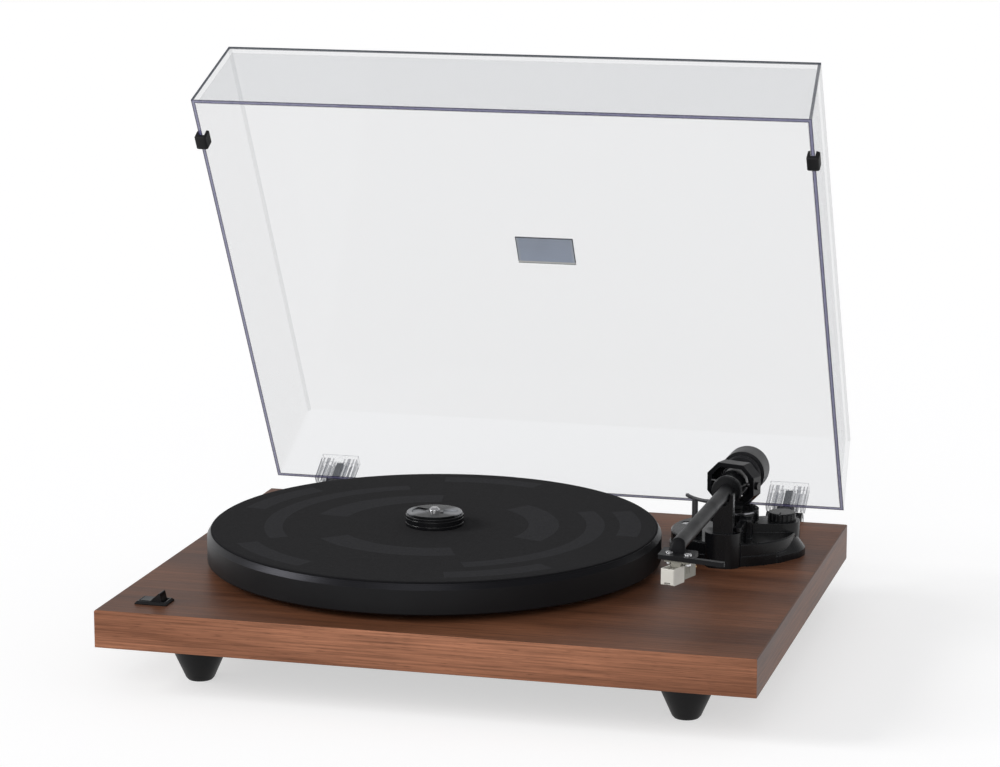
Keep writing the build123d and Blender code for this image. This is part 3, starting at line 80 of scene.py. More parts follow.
MM = 0.001
platter_axis = middle("spindle")
hinge_joint = joint_named("cover_hinge")
hinge_point = Vector(hinge_joint["pos_m"])
cover_angle = math.radians(-hinge_joint["range_deg"][0])
cover_up = Vector((0, math.sin(cover_angle), math.cos(cover_angle)))
cover_front = Vector((0, -math.cos(cover_angle), math.sin(cover_angle)))
arm_pivot = Vector(joint_named("arm_rise")["pos_m"])
arm_forward = -Vector(joint_named("weight_travel")["axis"]).normalized()
arm_side = arm_forward.cross(Vector((0.0, 0.0, 1.0))).normalized()
arm_up = arm_side.cross(arm_forward)
print("platter axis", tuple(round(v, 4) for v in platter_axis[:2]))
print("cover stands open by", round(math.degrees(cover_angle), 1), "degrees")


# %% [markdown]
# ## Small helpers for shader trees
# A material in Blender is a tree of nodes. It could be wired by hand, socket by socket, but the
# same few moves come back in every finish. So short helpers do them: they add a node and set its
# sockets, join two sockets, do arithmetic, rescale a value and mix two colours.

# %% Helpers for shader trees
def add(tree, kind, options=None, sockets=None):
    """Adds a node, sets its options and the values of its named or numbered sockets."""
    node = tree.nodes.new(kind)
    for option, value in (options or {}).items():
        setattr(node, option, value)
    for socket, value in (sockets or {}).items():
        node.inputs[socket].default_value = value
    return node


def join(tree, source, target):
    tree.links.new(source, target)


def maths(tree, operation, first, second=None, clamp=False):
    """Arithmetic on sockets or plain numbers, as one output socket."""
    node = add(tree, "ShaderNodeMath", {"operation": operation, "use_clamp": clamp})
    for index, value in enumerate((first, second)):
        if value is None:
            continue
        if isinstance(value, (int, float)):
            node.inputs[index].default_value = value
        else:
            join(tree, value, node.inputs[index])
    return node.outputs[0]


def spread(tree, value, low, high, from_low=0.0, from_high=1.0):
    """Rescales a value to a new range, clamped at both ends."""
    node = add(tree, "ShaderNodeMapRange", None, {
        "From Min": from_low, "From Max": from_high, "To Min": low, "To Max": high,
    })
    join(tree, value, node.inputs["Value"])
    return node.outputs["Result"]


def blend_colours(tree, factor, first, second, kind="MIX"):
    """Mixes two colours, each a socket or three numbers, by a socket or number."""
    node = add(tree, "ShaderNodeMix", {"data_type": "RGBA", "blend_type": kind})
    for index, value in ((0, factor), (6, first), (7, second)):
        if isinstance(value, (int, float)):
            node.inputs[index].default_value = value
        elif isinstance(value, tuple):
            node.inputs[index].default_value = (*value, 1.0)
        else:
            join(tree, value, node.inputs[index])
    return node.outputs[2]


def grey(tree, value):
    """One value as red, green and blue, for a layer that only darkens."""
    node = add(tree, "ShaderNodeCombineColor")
    for channel in ("Red", "Green", "Blue"):
        join(tree, value, node.inputs[channel])
    return node.outputs[0]


print("tree helpers are ready")


# %% [markdown]
# ## Helpers for places
# Most marks on a finish depend on where they are: how far up, how far from an axis, or at random
# along a direction. Texture coordinates laid out by hand would do, but they stretch when a size
# changes. These helpers read places in metres on the piece itself, so a mark stays where it is
# on a piece that moves.

# %% Helpers for places and noise
def dot_with(tree, vector, direction):
    """How far a place lies along a fixed direction."""
    node = add(tree, "ShaderNodeVectorMath", {"operation": "DOT_PRODUCT"}, {1: direction})
    join(tree, vector, node.inputs[0])
    return node.outputs["Value"]


def object_place(tree, origin=(0.0, 0.0, 0.0)):
    """Place on the part in metres, counted from an origin."""
    coordinates = add(tree, "ShaderNodeTexCoord")
    node = add(tree, "ShaderNodeVectorMath", {"operation": "SUBTRACT"}, {1: tuple(origin)})
    join(tree, coordinates.outputs["Object"], node.inputs[0])
    return node.outputs[0]


def axes_of(tree, vector):
    """A place or a direction, split into sockets named X, Y and Z."""
    node = add(tree, "ShaderNodeSeparateXYZ")
    join(tree, vector, node.inputs[0])
    return node.outputs


def noise_at(tree, place, sockets):
    """Value of a noise at a place."""
    node = add(tree, "ShaderNodeTexNoise", None, sockets)
    join(tree, place, node.inputs["Vector"])
    return node.outputs["Fac"]


print("place helpers are ready")


# %% [markdown]
# ## Helpers that start a material or a group
# Every finish starts from a material with one shader. An effect that several finishes share
# could be copied into each of them. Here it is a group: a small tree of its own with named
# inputs and outputs, which is built once and placed in each finish with that finish's values.

# %% Helpers for materials and groups
def new_material(name):
    """An empty finish: the material, its tree and its shader."""
    material = bpy.data.materials.new(name)
    material.use_nodes = True
    return material, material.node_tree, material.node_tree.nodes["Principled BSDF"]


def new_group(name, inputs, outputs):
    """An effect that several finishes share: its tree, its inputs and its outputs."""
    tree = bpy.data.node_groups.new(name, "ShaderNodeTree")
    for label, kind, value in inputs:
        socket = tree.interface.new_socket(name=label, in_out="INPUT", socket_type=kind)
        if value is not None:
            socket.default_value = value
    for label, kind in outputs:
        tree.interface.new_socket(name=label, in_out="OUTPUT", socket_type=kind)
    return tree, add(tree, "NodeGroupInput").outputs, add(tree, "NodeGroupOutput").inputs


def place_group(tree, group, values=None):
    """Puts a shared effect into a finish with its own values."""
    return add(tree, "ShaderNodeGroup", {"node_tree": group}, values)


FLOAT, VECTOR = "NodeSocketFloat", "NodeSocketVector"
print("material helpers are ready")


# %% [markdown]
# ## Softened edges
# No real edge is perfectly sharp: moulded plastic has a small radius from its tool, and painted
# or turned metal is broken with a file or a chamfer. That thin line of light is what tells the
# eye how big a thing is. The Bevel node rounds the shading without touching the mesh, and where
# the rounded normal differs from the flat one there is an edge, which gives a mask for wear and
# for a painted highlight along the edge.

# %% Shared effect: softened edges
def make_soft_edges():
    tree, given, result = new_group(
        "softened_edges", [("Width", FLOAT, 0.0003)], [("Normal", VECTOR), ("Edge", FLOAT)]
    )
    bevel = add(tree, "ShaderNodeBevel", {"samples": 4})
    join(tree, given["Width"], bevel.inputs["Radius"])
    join(tree, bevel.outputs["Normal"], result["Normal"])
    geometry = add(tree, "ShaderNodeNewGeometry")
    likeness = add(tree, "ShaderNodeVectorMath", {"operation": "DOT_PRODUCT"})
    join(tree, bevel.outputs["Normal"], likeness.inputs[0])
    join(tree, geometry.outputs["Normal"], likeness.inputs[1])
    join(tree, spread(tree, likeness.outputs["Value"], 1.0, 0.0, 0.80, 0.985), result["Edge"])
    return tree


soft_edges = make_soft_edges()
print("made group", soft_edges.name)


# %% [markdown]
# ## Moulded grain
# Injection-moulded and sprayed surfaces carry a faint skin: fine bumps under half a millimetre,
# and broader clouds where the sheen changes a little. The same noise at two scales gives both,
# one as a bump and one as a value that a finish can turn into roughness.

# %% Shared effect: moulded grain
def make_moulded_grain():
    tree, given, result = new_group(
        "moulded_grain",
        [("Grains", FLOAT, 2500.0), ("Depth", FLOAT, 0.00002), ("Normal", VECTOR, None)],
        [("Normal", VECTOR), ("Cloud", FLOAT)],
    )
    place = object_place(tree)
    fine = add(tree, "ShaderNodeTexNoise", None, {"Detail": 3.0, "Roughness": 0.6})
    join(tree, place, fine.inputs["Vector"])
    join(tree, given["Grains"], fine.inputs["Scale"])
    bump = add(tree, "ShaderNodeBump", None, {"Strength": 1.0})
    join(tree, fine.outputs["Fac"], bump.inputs["Height"])
    join(tree, given["Depth"], bump.inputs["Distance"])
    join(tree, given["Normal"], bump.inputs["Normal"])
    join(tree, bump.outputs["Normal"], result["Normal"])
    broad = noise_at(tree, place, {"Scale": 45.0, "Detail": 4.0})
    join(tree, spread(tree, broad, 0.0, 1.0, 0.3, 0.7), result["Cloud"])
    return tree


moulded_grain = make_moulded_grain()
print("made group", moulded_grain.name)


# %% [markdown]
# ## Turning marks
# Platter, adapter cap and screws are made on a lathe, which leaves rings too fine to count but
# strong enough to draw a highlight out into a fan. A one-dimensional noise over the distance
# from the axis makes rings of uneven strength, as a real tool does.

# %% Shared effect: turning marks
def make_turning_marks():
    tree, given, result = new_group(
        "turning_marks",
        [("Centre", VECTOR, None), ("Rings per metre", FLOAT, 3000.0)],
        [("Mark", FLOAT)],
    )
    coordinates = add(tree, "ShaderNodeTexCoord")
    offset = add(tree, "ShaderNodeVectorMath", {"operation": "SUBTRACT"})
    join(tree, coordinates.outputs["Object"], offset.inputs[0])
    join(tree, given["Centre"], offset.inputs[1])
    flat = add(tree, "ShaderNodeVectorMath", {"operation": "MULTIPLY"}, {1: (1.0, 1.0, 0.0)})
    join(tree, offset.outputs[0], flat.inputs[0])
    radius = add(tree, "ShaderNodeVectorMath", {"operation": "LENGTH"})
    join(tree, flat.outputs[0], radius.inputs[0])
    rings = add(tree, "ShaderNodeTexNoise", {"noise_dimensions": "1D"}, {"Detail": 2.0})
    join(tree, radius.outputs["Value"], rings.inputs["W"])
    join(tree, given["Rings per metre"], rings.inputs["Scale"])
    join(tree, rings.outputs["Fac"], result["Mark"])
    return tree


turning_marks = make_turning_marks()
print("made group", turning_marks.name)


# %% [markdown]
# ## Settled dust
# Dust lies only where a surface looks up. The mask is the upward part of the normal, broken up
# by noise, and each finish decides how much of it shows.

# %% Shared effect: settled dust
def make_settled_dust():
    tree, given, result = new_group("settled_dust", [("Amount", FLOAT, 0.1)], [("Dust", FLOAT)])
    geometry = add(tree, "ShaderNodeNewGeometry")
    upward = dot_with(tree, geometry.outputs["Normal"], (0.0, 0.0, 1.0))
    specks = noise_at(tree, object_place(tree), {"Scale": 900.0, "Detail": 5.0})
    scattered = spread(tree, specks, 0.0, 1.0, 0.55, 0.75)
    lying = maths(tree, "MULTIPLY", spread(tree, upward, 0.0, 1.0, 0.6, 1.0), scattered)
    join(tree, maths(tree, "MULTIPLY", lying, given["Amount"]), result["Dust"])
    return tree


settled_dust = make_settled_dust()
DUST_COLOUR = (0.42, 0.41, 0.39)
print("made group", settled_dust.name)


# %% [markdown]
# ## A base for hard finishes
# Plastics, paints and plated metals differ in colour, gloss and grain, but are built alike:
# softened edges feed the grain's bump, the cloud moves the roughness a little, edges can be
# given a paler colour as a painted highlight, and a trace of dust lies on top. One recipe with
# its own values for each finish is shorter than twenty materials, and a change to it reaches
# them all.

# %% Base recipe for hard surfaces
CLOUD_SHADE = 0.86


def hard_finish(name, colour, roughness, edge_mm=0.3, grains=2500.0, depth_mm=0.01,
                metallic=0.0, swing=0.06, edge_highlight_colour=None, dust=0.04, shine=0.3):
    """A hard surface; returns the material, its tree, its shader and its colour socket."""
    material, tree, shader = new_material(name)
    shader.inputs["Metallic"].default_value = metallic
    shader.inputs["Specular IOR Level"].default_value = shine
    edges = place_group(tree, soft_edges, {"Width": edge_mm * MM})
    grain = place_group(tree, moulded_grain, {"Grains": grains, "Depth": depth_mm * MM})
    join(tree, edges.outputs["Normal"], grain.inputs["Normal"])
    join(tree, grain.outputs["Normal"], shader.inputs["Normal"])
    cloud = grain.outputs["Cloud"]
    join(tree, spread(tree, cloud, roughness - swing, roughness + swing),
         shader.inputs["Roughness"])
    darker = tuple(CLOUD_SHADE * c for c in colour)
    tone = blend_colours(tree, cloud, darker, colour)
    # A paler edge colour is a painted highlight: a line of light laid into the colour along each
    # edge.
    if edge_highlight_colour is not None:
        tone = blend_colours(tree, edges.outputs["Edge"], tone, edge_highlight_colour)
    fallen = place_group(tree, settled_dust, {"Amount": dust})
    tone = blend_colours(tree, fallen.outputs["Dust"], tone, DUST_COLOUR)
    join(tree, tone, shader.inputs["Base Color"])
    return material, tree, shader, tone


def dress(material, *names):
    """Gives a finish to nodes of the frame."""
    for name in names:
        slots = nodes[name].data.materials
        slots.clear()
        slots.append(material)
        for polygon in nodes[name].data.polygons:
            polygon.material_index = 0
    print(material.name, "on", ", ".join(names))


# %% [markdown]
# ## Walnut veneer
# The plinth is board covered with a thin slice of walnut. Its grain runs from left to right on
# the top and the front, and along the depth on the end faces, because the strip there is cut
# from the same sheet. A photographed veneer would need its own picture file and would repeat.
# Noise that is stretched along the grain does neither, so first come its place and direction.

# %% Noise along the grain
def stretched_noise(tree, place, stretch, detail, distortion=0.0):
    """Noise drawn out along the grain; stretch gives its features per metre on each axis."""
    scaled = add(tree, "ShaderNodeVectorMath", {"operation": "MULTIPLY"}, {1: stretch})
    join(tree, place, scaled.inputs[0])
    return noise_at(tree, scaled.outputs[0], {
        "Scale": 1.0, "Detail": detail, "Roughness": 0.55, "Distortion": distortion,
    })


def veneer_place(tree):
    """Place on the veneer, with the first axis along the grain on every face."""
    coordinates = add(tree, "ShaderNodeTexCoord")
    place = axes_of(tree, coordinates.outputs["Object"])
    facing = axes_of(tree, coordinates.outputs["Normal"])
    on_end = maths(tree, "GREATER_THAN", maths(tree, "ABSOLUTE", facing["X"]), 0.7)
    turned = add(tree, "ShaderNodeCombineXYZ")
    straight = add(tree, "ShaderNodeCombineXYZ")
    for source, target, swapped in (("X", "X", "Y"), ("Y", "Y", "X"), ("Z", "Z", "Z")):
        join(tree, place[source], straight.inputs[target])
        join(tree, place[source], turned.inputs[swapped])
    chosen = add(tree, "ShaderNodeMix", {"data_type": "VECTOR"})
    join(tree, on_end, chosen.inputs[0])
    join(tree, straight.outputs[0], chosen.inputs[4])
    join(tree, turned.outputs[0], chosen.inputs[5])
    return chosen.outputs[1]


print("grain helpers are ready")


# %% [markdown]
# ## Bands, fibres and pores
# Three layers of that noise make the walnut: slow bands of dark and light heartwood, fibres a
# fraction of a millimetre wide, and short dark pores that also dent the lacquer slightly. On the
# front face the same wood is lightened: painted light, which makes the front brighter than the
# top.

# %% Walnut veneer for the plinth
WALNUT_DARK = (0.050, 0.0165, 0.0065)
WALNUT_MIDDLE = (0.108, 0.040, 0.019)
WALNUT_LIGHT = (0.250, 0.104, 0.052)
WALNUT_PORE = (0.02, 0.007, 0.004)
WALNUT_RUBBED = (0.36, 0.19, 0.12)
FRONT_FACE_PAINTED_LIGHT = (2.17, 2.31, 2.60)
BAND_STRETCH = (2.2, 24.0, 24.0)
FIBRE_STRETCH = (16.0, 900.0, 900.0)
PORE_STRETCH = (90.0, 2100.0, 2100.0)
VENEER_EDGE = 0.5 * MM
PORE_DEPTH = 0.03 * MM


def make_walnut():
    material, tree, shader = new_material("walnut_veneer")
    shader.inputs["Specular IOR Level"].default_value = 0.2
    place = veneer_place(tree)
    bands = stretched_noise(tree, place, BAND_STRETCH, 4.0, 0.9)
    fibres = stretched_noise(tree, place, FIBRE_STRETCH, 3.0)
    pores = stretched_noise(tree, place, PORE_STRETCH, 1.0)
    light = spread(tree, bands, 0.0, 1.0, 0.32, 0.70)
    tone = blend_colours(tree, light, WALNUT_DARK, WALNUT_LIGHT)
    tone = blend_colours(tree, 0.42, tone, WALNUT_MIDDLE)
    fine = spread(tree, fibres, 0.58, 1.40, 0.28, 0.72)
    tone = blend_colours(tree, 1.0, tone, grey(tree, fine), "MULTIPLY")
    pore = spread(tree, pores, 0.0, 1.0, 0.60, 0.74)
    tone = blend_colours(tree, maths(tree, "MULTIPLY", pore, 0.55), tone, WALNUT_PORE)
    facing = add(tree, "ShaderNodeTexCoord").outputs["Normal"]
    # Painted light: the front face is lightened, so it reads brighter than the top.
    front = maths(tree, "GREATER_THAN", dot_with(tree, facing, (0.0, -1.0, 0.0)), 0.7)
    tone = blend_colours(tree, front, tone, FRONT_FACE_PAINTED_LIGHT, "MULTIPLY")
    edges = place_group(tree, soft_edges, {"Width": VENEER_EDGE})
    rubbed = maths(tree, "MULTIPLY", edges.outputs["Edge"], 0.45)
    tone = blend_colours(tree, rubbed, tone, WALNUT_RUBBED)
    join(tree, tone, shader.inputs["Base Color"])
    bump = add(tree, "ShaderNodeBump", None, {"Strength": 0.6, "Distance": PORE_DEPTH})
    relief = maths(tree, "SUBTRACT", fibres, pore)
    join(tree, relief, bump.inputs["Height"])
    join(tree, edges.outputs["Normal"], bump.inputs["Normal"])
    join(tree, bump.outputs["Normal"], shader.inputs["Normal"])
    join(tree, spread(tree, bands, 0.36, 0.48), shader.inputs["Roughness"])
    return material


dress(make_walnut(), "plinth")


# %% [markdown]
# ## Black plastics and rubber
# The feet, the switch, the hinge brackets and the sockets at the back are satin mouldings. The
# arm's base is the same stuff from a more polished tool, so it shows clear highlights. Rubber
# parts are duller, with a coarser skin. One black for all of them would hide where one part ends
# and the next begins, so each family has its own gloss and edge.

# %% Plastics and rubber
dress(hard_finish("foot_plastic", (0.0045, 0.0045, 0.005), 0.46, 0.5, 1800.0, 0.03,
                  shine=0.2)[0], "feet")
dress(hard_finish("satin_plastic", (0.0075, 0.0075, 0.0085), 0.36, 0.35, 2200.0, 0.015)[0],
      "rocker_housing", "power_rocker", "rear_panel", "output_switch", "output_knob",
      "power_inlet", "hinge_arms", "hinge_blocks", "weight_sleeve")
dress(hard_finish("adapter_plastic", (0.0045, 0.0045, 0.0055), 0.20, 0.3, shine=0.5)[0],
      "adapter_body")
# The arm's plastics take a paler edge colour: a painted highlight along every edge.
dress(hard_finish("arm_plastic", (0.0040, 0.0042, 0.0050), 0.27, 0.45, 2600.0, 0.012,
                  edge_highlight_colour=(0.040, 0.042, 0.048), shine=0.25)[0],
      "tonearm_base", "pivot_collar", "arm_rest", "cue_lever", "anti_skate_knob",
      "gimbal_ring", "arm_housing")
dress(hard_finish("soft_rubber", (0.007, 0.007, 0.008), 0.62, 0.6, 1500.0, 0.05)[0],
      "cover_bumpers", "drive_belt", "motor_grommets")
dress(hard_finish("board_cover", (0.018, 0.016, 0.015), 0.7, 0.4, 1200.0, 0.08)[0],
      "bottom_cover")
dress(hard_finish("cartridge_body_plastic", (0.30, 0.29, 0.25), 0.42, 0.25)[0],
      "cartridge_body", "stylus")
dress(hard_finish("guard_plastic", (0.70, 0.68, 0.62), 0.38, 0.3, dust=0.0)[0], "stylus_guard")


# %% [markdown]
# ## Painted and plated metal
# The arm tube and the weight are metal under a satin black coat, the lift's bar is a dark plated
# one, and the screws, pins and sockets are plated bright. Paint hides the metal, so the coated
# parts are dressed like plastic. Bare metal shows its colour only in its reflections, so it gets
# a paler base and its look comes from the roughness.

# %% Metals
dress(hard_finish("tube_paint", (0.0050, 0.0050, 0.0060), 0.42, 0.35, 3000.0, 0.01,
                  shine=0.15)[0], "arm_tube", "headshell")
dress(hard_finish("weight_paint", (0.012, 0.012, 0.014), 0.40, 0.5, 3000.0, 0.006, shine=0.25)[0],
      "counterweight", "force_dial")
dress(hard_finish("lift_paint", (0.075, 0.075, 0.08), 0.34, 0.4, metallic=0.7)[0], "cue_lift")
dress(hard_finish("plated_steel", (0.62, 0.62, 0.63), 0.2, 0.25, metallic=1.0, dust=0.0)[0],
      "foot_screws", "cover_screws", "hinge_screws", "cartridge_screws", "weight_stub",
      "motor_screws", "base_screws")
dress(hard_finish("polished_steel", (0.72, 0.72, 0.73), 0.12, 0.3, metallic=1.0, dust=0.0)[0],
      "spindle", "hinge_pins", "thrust_ball")
dress(hard_finish("motor_steel", (0.45, 0.45, 0.46), 0.32, 0.4, metallic=1.0)[0],
      "motor_body", "motor_bracket", "bearing_housing")
dress(hard_finish("turned_bronze", (0.62, 0.42, 0.20), 0.28, 0.3, metallic=1.0)[0],
      "bearing_bush", "motor_pulley", "cartridge_terminals")
dress(hard_finish("nickel", (0.66, 0.64, 0.60), 0.22, 0.3, metallic=1.0)[0],
      "ground_post", "ground_nut", "rca_jacks")
dress(hard_finish("circuit_board", (0.012, 0.075, 0.035), 0.35, 0.2)[0], "circuit_board")


# %% [markdown]
# ## Pivot screws
# The two screws that the arm rocks on are bare steel inside the yoke, and black where their
# heads show outside. They could be cut into two solids, but one screw is one piece, so its
# finish changes with the distance from the arm's pivot.

# %% Steel that is black outside the yoke
PIN_BARE_REACH = 15.5 * MM
PIN_BLACK = (0.006, 0.006, 0.007)


def make_pin_finish():
    material, tree, shader, tone = hard_finish("pin_steel", (0.7, 0.7, 0.71), 0.2, 0.2, dust=0.0)
    length = add(tree, "ShaderNodeVectorMath", {"operation": "LENGTH"})
    join(tree, object_place(tree, arm_pivot), length.inputs[0])
    inside = maths(tree, "LESS_THAN", length.outputs["Value"], PIN_BARE_REACH)
    join(tree, blend_colours(tree, inside, PIN_BLACK, tone), shader.inputs["Base Color"])
    join(tree, inside, shader.inputs["Metallic"])
    return material


dress(make_pin_finish(), "gimbal_pins")


# %% [markdown]
# ## The platter
# It is cast and turned, then painted satin black all over. The bevel at the top of the rim is
# cut afterwards and toned dark, so it flashes only where it faces a lamp. Two materials, each on
# its own faces, would do as well. Here one material holds both and tells them apart by height,
# so the bevel stays bare where it should when the platter's mesh changes.

# %% Platter paint and its bare bevel
platter_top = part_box("platter")[1].z
BEVEL_HEIGHT = 3.6 * MM
BEVEL_DARK = (0.012, 0.012, 0.0135)
BEVEL_PALE = (0.026, 0.026, 0.029)


def make_platter_finish():
    material, tree, shader, tone = hard_finish(
        "platter_paint", (0.0075, 0.0075, 0.0085), 0.42, 0.3, 3200.0, 0.02, shine=0.15
    )
    height = axes_of(tree, object_place(tree))["Z"]
    bare = maths(tree, "GREATER_THAN", height, platter_top - BEVEL_HEIGHT)
    marks = place_group(tree, turning_marks, {
        "Rings per metre": 5000.0, "Centre": tuple(platter_axis),
    })
    metal = blend_colours(tree, marks.outputs["Mark"], BEVEL_DARK, BEVEL_PALE)
    join(tree, blend_colours(tree, bare, tone, metal), shader.inputs["Base Color"])
    join(tree, spread(tree, bare, 0.0, 1.0), shader.inputs["Metallic"])
    join(tree, spread(tree, bare, 0.42, 0.36), shader.inputs["Roughness"])
    return material


dress(make_platter_finish(), "platter")


# %% [markdown]
# ## Bright turned parts
# The adapter's cap and the ring on the pivot collar are bare aluminium off a lathe. Fine rings
# bend a highlight into a fan that turns with the eye. An anisotropic shader could draw it, but
# many viewers leave that out, so the rings are the marks made above, each round its own axis,
# and the cap's fan is a painted highlight: two fixed wedges stay bright and the rest is darkened.

# %% Turned aluminium
RING_SHADE = 0.7
FAN_PAINTED_SHADE = 0.05
FAN_REACH = 7 * MM
FAN_ALONG = (0.97, 0.24, 0.0)
FAN_ACROSS = (-0.24, 0.97, 0.0)


def make_turned_metal(name, centre, base, roughness, fan=None):
    """Lathe-turned metal; a painted fan highlight darkens it outside two wedges, by the fan's
    reach in metres.
    """
    material, tree, shader, tone = hard_finish(name, base, roughness, 0.2, metallic=1.0, dust=0.0)
    marks = place_group(tree, turning_marks, {"Rings per metre": 4500.0, "Centre": tuple(centre)})
    darker = tuple(RING_SHADE * c for c in base)
    tone = blend_colours(tree, marks.outputs["Mark"], darker, tone)
    if fan is not None:
        # Painted highlight: the fan stays fixed in two wedges, and the metal is darkened outside
        # them.
        place = object_place(tree, centre)
        across = maths(tree, "ABSOLUTE", dot_with(tree, place, FAN_ALONG))
        aside = maths(tree, "ABSOLUTE", dot_with(tree, place, FAN_ACROSS))
        painted_fan_highlight = spread(tree, maths(tree, "SUBTRACT", across, aside), 0.0, 1.0, 0.0, fan)
        tone = blend_colours(tree, painted_fan_highlight, tuple(FAN_PAINTED_SHADE * c for c in base), tone)
    join(tree, tone, shader.inputs["Base Color"])
    return material


dress(make_turned_metal("cap_aluminium", platter_axis, (0.40, 0.41, 0.43), 0.3, FAN_REACH),
      "adapter_cap")
dress(make_turned_metal("collar_ring", middle("pivot_collar"), (0.30, 0.30, 0.32), 0.25),
      "collar_trim")


# %% [markdown]
# ## The clear cover
# The cover is acrylic sheet a few millimetres thick, with cut edges at its rim and glued corners
# elsewhere. Both are finished by place: how far a point lies inside the cover's outer walls,
# which lean inwards from the rim to the top. The walls could be typed in, but then they would
# stay behind when the cover's size changes, so they are measured on the solid.

# %% Where the cover's outer walls are
def cover_walls():
    """Heights of rim and top, and the walls' reach to the side, front and back at both."""
    places = [(abs(place.x), place.dot(cover_front), place.dot(cover_up))
              for place in corners_from("dust_cover", hinge_point)]
    rim = min(place[2] for place in places)
    top = max(place[2] for place in places)
    at_rim = [place for place in places if place[2] < rim + MM]
    at_top = [place for place in places if place[2] > top - MM]
    return {
        "height": (rim, top),
        "side": (max(p[0] for p in at_rim), max(p[0] for p in at_top)),
        "front": (max(p[1] for p in at_rim), max(p[1] for p in at_top)),
        "back": (min(p[1] for p in at_rim), min(p[1] for p in at_top)),
    }


walls = cover_walls()
for label, reach in walls.items():
    print("cover", label, [round(v / MM, 1) for v in reach])


# %% [markdown]
# Seen square on, the sheet takes only a little light, and it mirrors more at a glancing angle.
# Looking into a cut edge or a corner the light has come a long way through the sheet, so these
# lines show blue-violet or slate and nearly solid, with a pale core at the rim. Real refraction
# could give all this, at the price of noise. A thin film of alpha that rises at glancing angles
# copies it cleanly, and the lines are laid over it.

# %% Clear acrylic
ACRYLIC = (0.42, 0.45, 0.49)
RIM_DARK = (0.060, 0.055, 0.130)
RIM_CORE = (0.200, 0.200, 0.400)
CORNER_SLATE = (0.050, 0.060, 0.080)
RIM_REACH = 0.4 * MM
RIM_LINE = 2.6 * MM
CORNER_LINE = 2.0 * MM
RIM_SOLID = 0.86
CORNER_SOLID = 0.82
FAINT_CORNER = 0.3
COVER_FILM = 0.115
FILM_RISE = 0.22


def clear_sheet(name):
    material, tree, shader = new_material(name)
    shader.inputs["Roughness"].default_value = 0.04
    shader.inputs["IOR"].default_value = 1.49
    return material, tree, shader


def glancing_film(tree, film):
    """Alpha of the bare sheet: thin seen square on, denser at a glancing angle."""
    glance = add(tree, "ShaderNodeLayerWeight", None, {"Blend": 0.28})
    return spread(tree, glance.outputs["Facing"], film, film + FILM_RISE, 0.35, 1.0)


def make_cover_acrylic():
    material, tree, shader = clear_sheet("cover_acrylic")
    place = object_place(tree, hinge_point)
    height = dot_with(tree, place, tuple(cover_up))
    rim, top = walls["height"]

    def wall_at(label):
        return spread(tree, height, walls[label][0], walls[label][1], rim, top)

    across = maths(tree, "ABSOLUTE", dot_with(tree, place, (1.0, 0.0, 0.0)))
    forward = dot_with(tree, place, tuple(cover_front))
    in_side = maths(tree, "SUBTRACT", wall_at("side"), across)
    in_front = maths(tree, "SUBTRACT", wall_at("front"), forward)
    in_back = maths(tree, "SUBTRACT", forward, wall_at("back"))
    in_top = maths(tree, "SUBTRACT", top, height)
    inward = maths(tree, "MINIMUM", in_side, maths(tree, "MINIMUM", in_front, in_back))
    near_side = maths(tree, "LESS_THAN", in_side, CORNER_LINE)
    near_front = maths(tree, "LESS_THAN", in_front, CORNER_LINE)
    near_top = maths(tree, "LESS_THAN", in_top, CORNER_LINE)
    others = maths(tree, "MAXIMUM", near_side, near_top)
    strong = maths(tree, "MULTIPLY", near_front, others)
    faint = maths(tree, "MULTIPLY", maths(tree, "MULTIPLY", near_side, near_top), FAINT_CORNER)
    corner = maths(tree, "MAXIMUM", strong, faint)
    low = maths(tree, "LESS_THAN", height, rim + RIM_REACH)
    rim_line = maths(tree, "MULTIPLY", low, maths(tree, "LESS_THAN", inward, RIM_LINE))
    core = maths(tree, "LESS_THAN", maths(
        tree, "ABSOLUTE", maths(tree, "SUBTRACT", inward, RIM_LINE / 2)), RIM_LINE / 5)
    rim_tone = blend_colours(tree, core, RIM_DARK, RIM_CORE)
    tone = blend_colours(tree, corner, ACRYLIC, CORNER_SLATE)
    tone = blend_colours(tree, rim_line, tone, rim_tone)
    join(tree, tone, shader.inputs["Base Color"])
    lines = maths(tree, "MAXIMUM", maths(tree, "MULTIPLY", rim_line, RIM_SOLID),
                  maths(tree, "MULTIPLY", corner, CORNER_SOLID))
    film = glancing_film(tree, COVER_FILM)
    join(tree, maths(tree, "MAXIMUM", film, lines), shader.inputs["Alpha"])
    return material


dress(make_cover_acrylic(), "dust_cover")


# %% [markdown]
# ## The clear sockets
# The two sockets at the back are thick mouldings with upright ribs. Light crosses each rib
# several times, so they show as dark and pale streaks, with a dark outline along the top. The
# solid's ribs are clear like the sheet and would vanish, so the streaks are drawn where the ribs
# stand, as bands at set distances from the middle of each socket.

# %% Ribbed acrylic
socket_sides = [abs(corner.x) for corner in corners_from("cover_sockets")]
socket_middle = (min(socket_sides) + max(socket_sides)) / 2
SOCKET_STREAKS = ((7.7, 1.3, 0.62), (4.2, 0.6, 0.45), (11.0, 0.6, 0.50), (13.2, 0.5, 0.55))
STREAK_TONE = (0.075, 0.085, 0.115)
SOCKET_PALE = (0.80, 0.82, 0.85)
SOCKET_FILM = 0.07
SOCKET_EDGE = 0.7 * MM
STREAKS_END = 3.5 * MM
OUTLINE_START = 2.0 * MM


